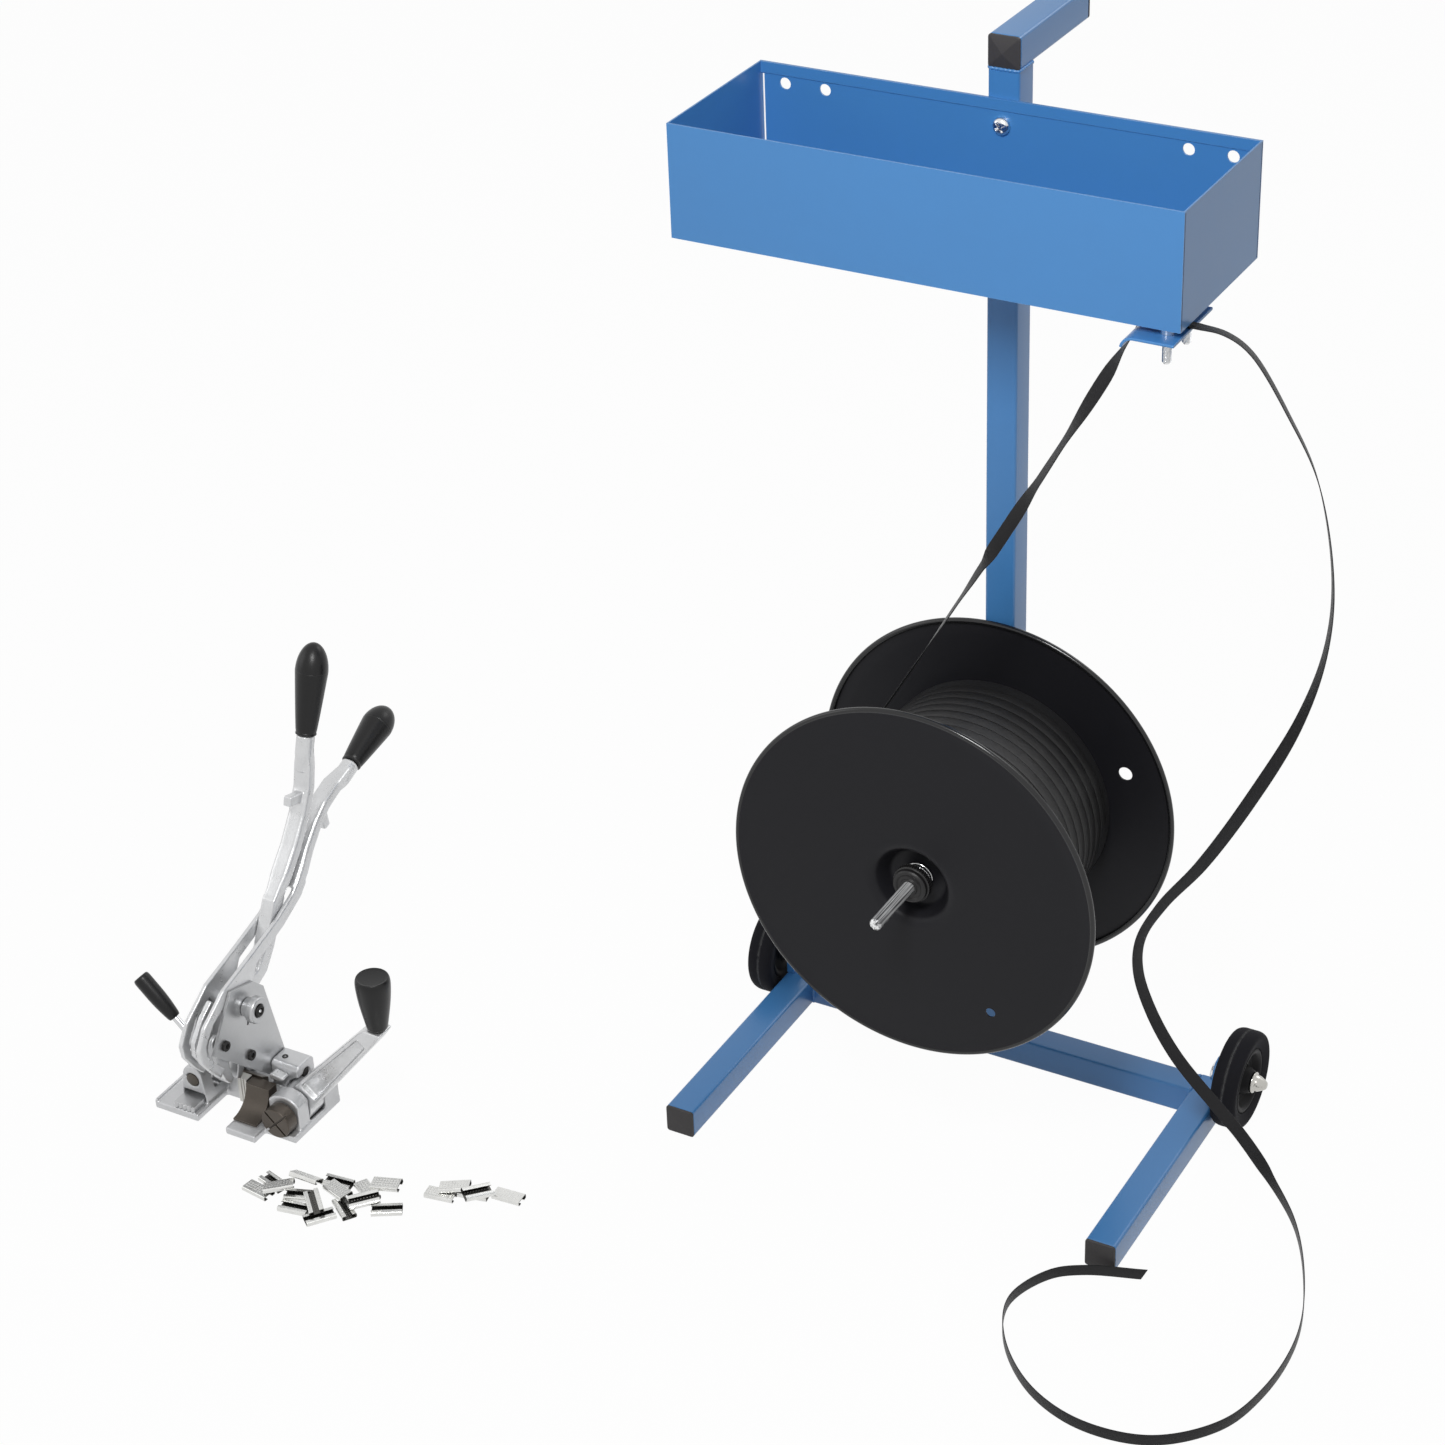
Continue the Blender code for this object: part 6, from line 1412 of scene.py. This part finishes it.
# %% Grips
GRIP_FOOT = 0.010
GRIP_TOP = 0.0165
GRIP_SHOULDER = 0.70
GRIP_TAPER = 0.9
GRIP_STUD = 0.0053
GRIP_BORE = 0.024
GRIP_START = 0.004
GRIP_LIP = [(0, GRIP_BORE), (GRIP_STUD, GRIP_BORE), (GRIP_STUD, 0), (GRIP_FOOT * 0.96, 0),
            (GRIP_FOOT * 1.05, 0.0007), (GRIP_FOOT * 1.05, 0.0022), (GRIP_FOOT * 1.01, 0.0030)]
LIP_END = 0.0032
SEAM_DEPTH = 0.00022
SEAM_WIDTH = 0.00035


def pear_grip(name, start, end, body, node):
    """Radius foot + (top - foot) (t / shoulder)^0.9, then a quarter ellipse, less a Gaussian seam."""
    long = np.linalg.norm(end - start)
    first = GRIP_START / long
    seam = GRIP_SHOULDER * long
    fine = seam + SEAM_WIDTH * np.linspace(-3, 3, 13)
    s = np.sort(np.concatenate([np.linspace(first, GRIP_SHOULDER, 24)[1:] * long, fine[fine < seam]]))
    taper = ((s / long - first) / (GRIP_SHOULDER - first)) ** GRIP_TAPER
    a = np.linspace(0.0, np.pi / 2, 26)[3:]
    after = fine[fine > seam]
    radius = np.concatenate([GRIP_FOOT + (GRIP_TOP - GRIP_FOOT) * taper, np.full(len(after), GRIP_TOP),
                             GRIP_TOP * np.cos(a)])
    s = np.concatenate([s, after, long * (GRIP_SHOULDER + (1 - GRIP_SHOULDER) * np.sin(a))])
    order = np.argsort(s)
    s = s[order]
    radius = np.maximum(radius[order] - SEAM_DEPTH * np.exp(-((s - seam) / SEAM_WIDTH) ** 2), 0.0)
    rest = np.column_stack([radius, s])[s > GRIP_START + LIP_END]
    profile = np.vstack([np.array(GRIP_LIP) + (0, GRIP_START), rest])
    return dress(turned_along(name, start, end, profile, steps=96), GRIP, body, node)


pear_grip("single_grip", *FRONT_GRIP, "front_lever", "front_grip")
pear_grip("forked_grip", *REAR_GRIP, "rear_lever", "rear_grip")
print("grips made")

# %% Knob
low, high, top = extent("tension_knob", "z", "x")
tall = high - low
knob = [(0, low + GRIP_BORE), (GRIP_STUD, low + GRIP_BORE), (GRIP_STUD, low), (GRIP_FOOT * 0.88, low),
        (GRIP_FOOT * 1.04, low + 0.002), (top * 0.90, low + 0.52 * tall), (top, high - 0.17 * tall),
        (top * 0.985, high - 0.0034), (top * 0.90, high), (top * 0.80, high - 0.0012), (0, high - 0.0022)]
soft = [0, 0, 0.0004, 0.0006, 0.002, 0.02, 0.008, 0.003, 0.0016, 0.002, 0]
turned("tension_handle", "z", flat_centre("tension_knob", "z"), knob, GRIP, "tension", "tension_knob",
       steps=96, soft=soft, fine=7)
print("knob made")

# %% Gripper rod and handle
ROD = 0.00375
ROD_START = TOOL + np.array((-0.121, 0.030, 0.045))
ROD_LENGTH = 0.055
ROD_ENDS = (-0.010, ROD_LENGTH + 0.0225)
ROD_CHAMFER = (0.0008, 0.0025)
HANDLE_LENGTH = 0.054
SLOPE = np.array((-1.0, 0.0, 1.0)) / math.sqrt(2)
foot = ROD_START + SLOPE * ROD_LENGTH
end = foot + SLOPE * HANDLE_LENGTH
handle = [(0, 0.024), (ROD + CLEAR, 0.024), (ROD + CLEAR, 0), (0.0058, 0), (0.0068, 0.0028), (0.0083, 0.016),
          (0.0090, 0.028), (0.0090, 0.051), (0.0080, HANDLE_LENGTH), (0, HANDLE_LENGTH + 0.0002)]
soft = [0, 0, 0.0004, 0.001, 0.003, 0.008, 0.008, 0.002, 0.002, 0]
made = turned_along("gripper_handle", foot, end, rounded(handle, soft, 6), steps=72)
dress(made, GRIP, "gripper", "gripper_grip")
back, front = ROD_ENDS
rod = [(0, back), (ROD, back), (ROD, front - ROD_CHAMFER[1]), (ROD - ROD_CHAMFER[0], front), (0, front)]
dress(turned_along("gripper_rod", ROD_START, foot, rod, steps=48), CHROME_ROD, "gripper")
print("gripper rod and handle made")

# %% [markdown]
# ## Turned steel on the tool
#
# Drum, roller and pins come off a lathe, so each is a profile. Hexagon sockets are a profile whose inner
# radius follows a hexagon. The drum's crossed slots are cut with two bars through its face.

# %% Bars and outlines
def prism(name, axis, outline, low, high):
    """A flat outline carried along an axis from low to high."""
    outline = np.asarray(outline, float)
    along = np.array([low, high])[:, None]
    return surface(name, spread(axis, outline[None, :, 0], outline[None, :, 1], along), sharp=FOLD)


def slanted_bar(long, wide, angle, centre):
    """The four corners of a bar turned by an angle about a centre."""
    c, s = math.cos(angle), math.sin(angle)
    return SQUARE * (long / 2, wide / 2) @ np.array([[c, s], [-s, c]]) + centre


# %% Drum
DRUM_END = 0.0117
DRUM_SLOT = 0.0024
DRUM_SLOT_DEPTH = 0.0040
DRUM_SOFT = 0.0007
SLOT_LONG = 2.4
SHAFT = 0.009
low, high, reach = extent("windlass", "y", "x")
axle = PIVOT["windlass_spin"][[0, 2]]
end = TOOL[1] + DRUM_END
drum = [(0, low), (reach - 0.0006, low), (reach, low + 0.0008), (reach, end - 0.0012), (reach - 0.0012, end),
        (SHAFT, end), (SHAFT, high - 0.0008), (SHAFT - 0.0008, high), (0, high)]
drum = lathe("tension_drum", "y", axle, rounded(drum, DRUM_SOFT), steps=128)
for angle in (45, 135):
    outline = slanted_bar(SLOT_LONG * reach, DRUM_SLOT, math.radians(angle), axle)
    drilled(drum, prism("slot", "y", outline, low - DRUM_SLOT, low + DRUM_SLOT_DEPTH))
dress(drum, BRONZE, "windlass", "windlass")
print("drum made")

# %% Roller
ROLLER_FACE = 0.20
RECESS = 0.0022
low, out, reach = extent("lever_pin", "x", "z")
main = PIVOT["front_lever_swing"][1:]
plate_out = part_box("right_side_plate")[1].x + CLEAR
plate_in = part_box("left_side_plate")[0].x - CLEAR
face = out - ROLLER_FACE * (out - plate_out)
back = [(0, low), (1.4 * PIN, low), (1.5 * PIN, low + 0.001), (1.5 * PIN, plate_in), (PIN, plate_in),
        (PIN, plate_out)]
wheel_rows = [(0.72, 0), (0.72, 0.38), (0.98, 0.44), (1, 0.48), (1, 0.80), (0.93, 0.90), (0.52, 0.88),
              (0.50, 0.80), (0, 0.80)]
roller = np.vstack([back, scaled(wheel_rows, reach, plate_out, out)])
turned("roller", "x", main, roller, PLATE, "head", "lever_pin", steps=128, soft=0.0012)
screw = [(0, face), (reach * 0.47, face), (reach * 0.47, out - 0.0012), (reach * 0.40, out - 0.0002),
         (reach * 0.26, out - 0.0002), (reach * 0.23, out - RECESS), (0, out - RECESS)]
turned("roller_screw", "x", main, screw, OXIDE, "head", steps=64, soft=0.0005)
tip = [(0, out - RECESS), (reach * 0.14, out - RECESS), (reach * 0.13, out - 0.0008), (0, out - 0.0003)]
turned("roller_tip", "x", main, tip, ZINC, "head", steps=48, soft=0.0008)
print("roller made")

# %% Pins
SOCKET = 0.0030
JAW_PIN = 0.004
CHAMFER = 0.0006
HINGE_CHAMFER = 0.001


def socket_wave(angle, radius, along):
    """A hexagon where the profile has the socket's radius."""
    return np.where(np.isclose(radius, SOCKET), radius * (hexagon(angle) - 1), 0.0)


def socket_pin(name, node, joint):
    """A pin along X with a plain head on the left and a socket head on the right."""
    low, high, head = extent(node, "x", "z")
    profile = [(0, low), (head - CHAMFER, low), (head, low + CHAMFER), (head, plate_in), (JAW_PIN, plate_in),
               (JAW_PIN, plate_out), (head, plate_out), (head, high - CHAMFER), (head - CHAMFER, high),
               (SOCKET + 0.0005, high), (SOCKET, high - 0.0003), (SOCKET, high - 0.0021), (0, high - 0.0023)]
    turned(name, "x", PIVOT[joint][1:], profile, OXIDE, "head", node, steps=72, wave=socket_wave)


socket_pin("upper_pin", "upper_jaw_pin", "front_jaw_swing")
socket_pin("lower_pin", "lower_jaw_pin", "rear_jaw_swing")

low, high, reach = extent("head_hinge_pin", "x", "z")
narrow = reach - HINGE_CHAMFER
hinge = [(0, low), (narrow, low), (reach, low + HINGE_CHAMFER), (reach, high - HINGE_CHAMFER), (narrow, high),
         (0, high)]
turned("hinge_rod", "x", flat_centre("head_hinge_pin", "x"), hinge, OXIDE, "root", "head_hinge_pin", steps=64)

low, high, reach = extent("gripper_pin", "y", "z")
stud = [(0, low - 0.0009), (reach * 0.6, low - 0.0006), (reach * 0.92, low + 0.0002), (reach, low + 0.0010),
        (reach, high), (0, high)]
turned("gripper_stud", "y", flat_centre("gripper_pin", "y"), stud, PIN_BRONZE, "root", "gripper_pin",
       steps=72, soft=0.001)

EAR_SCREW = 0.0032
EAR_TOP = 0.054
EAR_PLACE = (-0.0475, 0.0575)
cap = [(0, -0.001), (EAR_SCREW, -0.001), (EAR_SCREW, 0.0004), (EAR_SCREW - 0.0004, 0.0008), (0.0017, 0.0008),
       (0.0015, 0), (0, 0)]
turned("ear_screw", "z", TOOL[:2] + EAR_PLACE, np.array(cap) + (0, EAR_TOP), OXIDE, "root", steps=48)
print("pins made")

# %% [markdown]
# ## Plates, anvil and gripper foot
#
# The head's plates are cut from steel sheet, so they keep crisp outlines with a fine broken edge. The right
# one has a short slot under the roller. The anvil is a dark block with a hollow curve, and the cutter beside
# it is a bright bar with two fine grooves.

# %% Flat steel
PLATE_SLOT = (0.010, 0.0032, math.radians(82))
PLATE_SLOT_DROP = 0.017
CUT_MARGIN = 0.001
PLATE_EDGE = 0.0005
FOOT_EDGE = 0.0003
ANVIL_EDGE = 0.0009
softened("left_plate", "left_side_plate", PLATE_EDGE, PLATE, "head")
right_plate = new_object("right_plate", copy_of("right_plate", "right_side_plate"), FOLD)
slot = slanted_bar(*PLATE_SLOT, main - (0.0, PLATE_SLOT_DROP))
slot = rounded(slot, PLATE_SLOT[1] * SIDE_SHARE, 5, closed=True)
low, high = (corner.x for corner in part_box("right_side_plate"))
drilled(right_plate, prism("slot", "x", slot, low - CUT_MARGIN, high + CUT_MARGIN))
dress(bevelled(right_plate, PLATE_EDGE), PLATE, "head", "right_side_plate")
softened("toothed_foot", "gripper_plate", FOOT_EDGE, PLATE, "gripper_foot")
softened("curved_anvil", "anvil_block", ANVIL_EDGE, BRONZE, segments=3)
print("plates, foot and anvil made")

# %% Cutter, and a dark block of painted shade by the anvil
GROOVE = 0.0008
GROOVE_SHARES = (0.42, 0.72)
CUTTER_EDGE = 0.0003
SHADE_BLOCK_EDGE = 0.0008
SHADE_BLOCK_LEFT = -0.1085
SHADE_BLOCK_GAP = 0.001
SHADE_BLOCK = [(0.0353, 0.0253), (0.0455, 0.0253), (0.0455, 0.0322), (0.0353, 0.0385)]
low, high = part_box("cutter_post")
front = [(low.x, high.y), (low.x, low.y)]
for share in GROOVE_SHARES:
    x = low.x + share * (high.x - low.x)
    front += [(x - GROOVE, low.y), (x - GROOVE / 2, low.y + GROOVE), (x + GROOVE / 2, low.y + GROOVE),
              (x + GROOVE, low.y)]
front += [(high.x, low.y), (high.x, high.y)]
cutter = bevelled(prism("cutter_bar", "z", front, low.z, high.z), CUTTER_EDGE)
dress(cutter, CUTTER, "root", "cutter_post")
# The dark block on the beam in the notch beside the anvil is painted shade: it stands for the casting's faces
# there, which lie in shadow.
left, right = TOOL[0] + SHADE_BLOCK_LEFT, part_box("right_side_plate")[0].x - SHADE_BLOCK_GAP
shade_block = prism("anvil_bridge", "x", np.array(SHADE_BLOCK) + TOOL[1:], left, right)
dress(bevelled(shade_block, SHADE_BLOCK_EDGE, 3), BRONZE, "root")
print("cutter and bridge made")

# %% [markdown]
# ## Loose seals
#
# A seal is a short open channel of thin steel. Its lips fold over the strap, and rows of small dimples on its
# back bite into it. The channel is a midline with rounded corners, thickened both ways and carried along its
# length, and the dimples push both faces of the web together.

# %% One seal
SEAL_LENGTH = 0.030
SEAL_WIDTH = 0.015
SEAL_HEIGHT = 0.005
SEAL_SHEET = 0.0009
SEAL_LIP = 0.004
SEAL_ROUND = 0.0011
DIMPLE = 0.00045
DIMPLE_STEP = 0.0030
DIMPLE_EDGE = 0.001
DIMPLE_INSET = 0.0015
SEAL_ROWS = 56
WEB_POINTS = 34


def seal_grid():
    """Points of a seal lying on its web, centred over the origin: rows along it, columns round its section.

    Both faces are the midline plus and minus half the sheet along its normal. Dimples are raised by
    D max(0, cos(pi (x/p + y/p)) cos(pi (x/p - y/p)))^2, with p the step between them, on the web only.
    """
    half = (SEAL_WIDTH - SEAL_SHEET) / 2
    low, high = SEAL_SHEET / 2, SEAL_HEIGHT - SEAL_SHEET / 2
    lip = half - SEAL_LIP
    corners = [(-lip, high), (-half, high), (-half, low), (half, low), (half, high), (lip, high)]
    bends = rounded(corners, SEAL_ROUND)
    web = np.flatnonzero(np.isclose(bends[:, 1], low))
    flat = np.linspace(bends[web[0]], bends[web[-1]], WEB_POINTS)
    line = np.vstack([bends[:web[0]], flat, bends[web[-1] + 1:]])
    step = tangents(line)
    normal = np.column_stack([-step[:, 1], step[:, 0]])
    ring = np.vstack([line + normal * SEAL_SHEET / 2, (line - normal * SEAL_SHEET / 2)[::-1]])
    x = np.linspace(-SEAL_LENGTH / 2, SEAL_LENGTH / 2, SEAL_ROWS)[:, None]
    y, z = ring[None, :, 0], ring[None, :, 1]
    inside = np.clip((half - SEAL_ROUND - np.abs(y)) / DIMPLE_EDGE, 0, 1) * (z < low + SEAL_SHEET)
    inside = inside * np.clip((SEAL_LENGTH / 2 - DIMPLE_INSET - np.abs(x)) / DIMPLE_EDGE, 0, 1)
    turn = np.pi / DIMPLE_STEP
    wave = np.maximum(np.cos(turn * (x + y)) * np.cos(turn * (x - y)), 0.0) ** 2
    return np.stack(np.broadcast_arrays(x, y, z + DIMPLE * wave * inside), -1)


SEAL = seal_grid()
SEAL_UV = np.linspace(0.0, 1.0, SEAL_ROWS), np.linspace(0.0, 1.0, SEAL.shape[1] + 1)
print("seal:", SEAL.shape[0], "by", SEAL.shape[1], "points")

# %% [markdown]
# ## Two small piles
#
# Seals tipped out of a box lie every way up, so each has its own place, turn, tilt and roll. How high it lies
# is left to a small experiment: a coarse copy of the seal comes down in steps from above the pile, and it
# stops at the last step before its faces meet those of a seal that already lies there.

# %% Piles
SEAL_CLEAR = 0.0003
DROP_FROM = 0.024
DROP_STEP = 0.0004
SEAL_SHARP = math.radians(50)
SEAL_PLACES = [
    ("first_seal", -0.506, -0.519, 20, 0, 0),
    ("second_seal", -0.456, -0.516, -35, 0, 0),
    ("third_seal", -0.356, -0.440, 12, 0, 0),
    ("seal_a", -0.547, -0.531, -8, 0, 180),
    ("seal_b", -0.541, -0.514, -16, 0, 0),
    ("seal_c", -0.500, -0.537, 10, 0, 0),
    ("seal_d", -0.470, -0.537, 52, 0, 0),
    ("seal_e", -0.484, -0.486, 6, 0, 0),
    ("seal_f", -0.451, -0.484, -30, 0, 180),
    ("seal_g", -0.418, -0.499, 30, 0, 0),
    ("seal_h", -0.527, -0.524, 32, 8, 172),
    ("seal_i", -0.508, -0.503, 3, -3, 150),
    ("seal_j", -0.473, -0.502, -20, 4, 184),
    ("seal_k", -0.482, -0.528, -44, -6, 10),
    ("seal_l", -0.440, -0.504, 40, 7, 18),
    ("seal_m", -0.434, -0.476, 10, 8, 190),
    ("seal_n", -0.384, -0.456, 9, 0, 180),
    ("seal_o", -0.3235, -0.429, 4, 0, 180),
    ("seal_p", -0.374, -0.446, 24, 6, 176),
    ("seal_q", -0.348, -0.446, 58, -10, 20),
]
NODE_OF = {"first_seal": ["seal_1"], "second_seal": ["seal_2"], "third_seal": ["seal_3"]}
PROXY = SEAL[::5, ::2]


def turned_seal(grid, turn, tilt, roll):
    """A seal's points, rolled about its length, tilted end up and turned, with its lowest point at zero."""
    turns = spin(np.radians((turn, -tilt, roll)), "ZYX").to_3x3()
    points = grid @ np.array(turns).T
    return points - (0, 0, points[..., 2].min())


def tree_of(points):
    """A search tree of a grid's faces, wrapped round its section."""
    rows, columns = points.shape[:2]
    row, column = grid_quads(rows, columns)
    return BVHTree.FromPolygons(points.reshape(-1, 3).tolist(), (row * columns + column % columns).tolist())


down = []
for name, x, y, *pose in SEAL_PLACES:
    place = np.array((x, y, SEAL_CLEAR))
    near = [tree for tree, other in down if np.hypot(*(place - other)[:2]) < SEAL_LENGTH + SEAL_WIDTH]
    proxy = turned_seal(PROXY, *pose)
    lift = DROP_FROM
    for height in np.arange(DROP_FROM, -DROP_STEP, -DROP_STEP):
        tree = tree_of(proxy + place + (0, 0, max(height, 0.0)))
        if any(tree.overlap(other) for other in near):
            break
        lift = max(height, 0.0)
    place = place + (0, 0, lift)
    down.append((tree_of(proxy + place), place))
    made = surface(name, turned_seal(SEAL, *pose) + place, uv=SEAL_UV, sharp=SEAL_SHARP)
    dress(made, SEAL_STEEL, "root", *NODE_OF.get(name, []))
print("seals:", len(SEAL_PLACES), "highest lies", round(max(p[2] for _, p in down), 4), "m up")
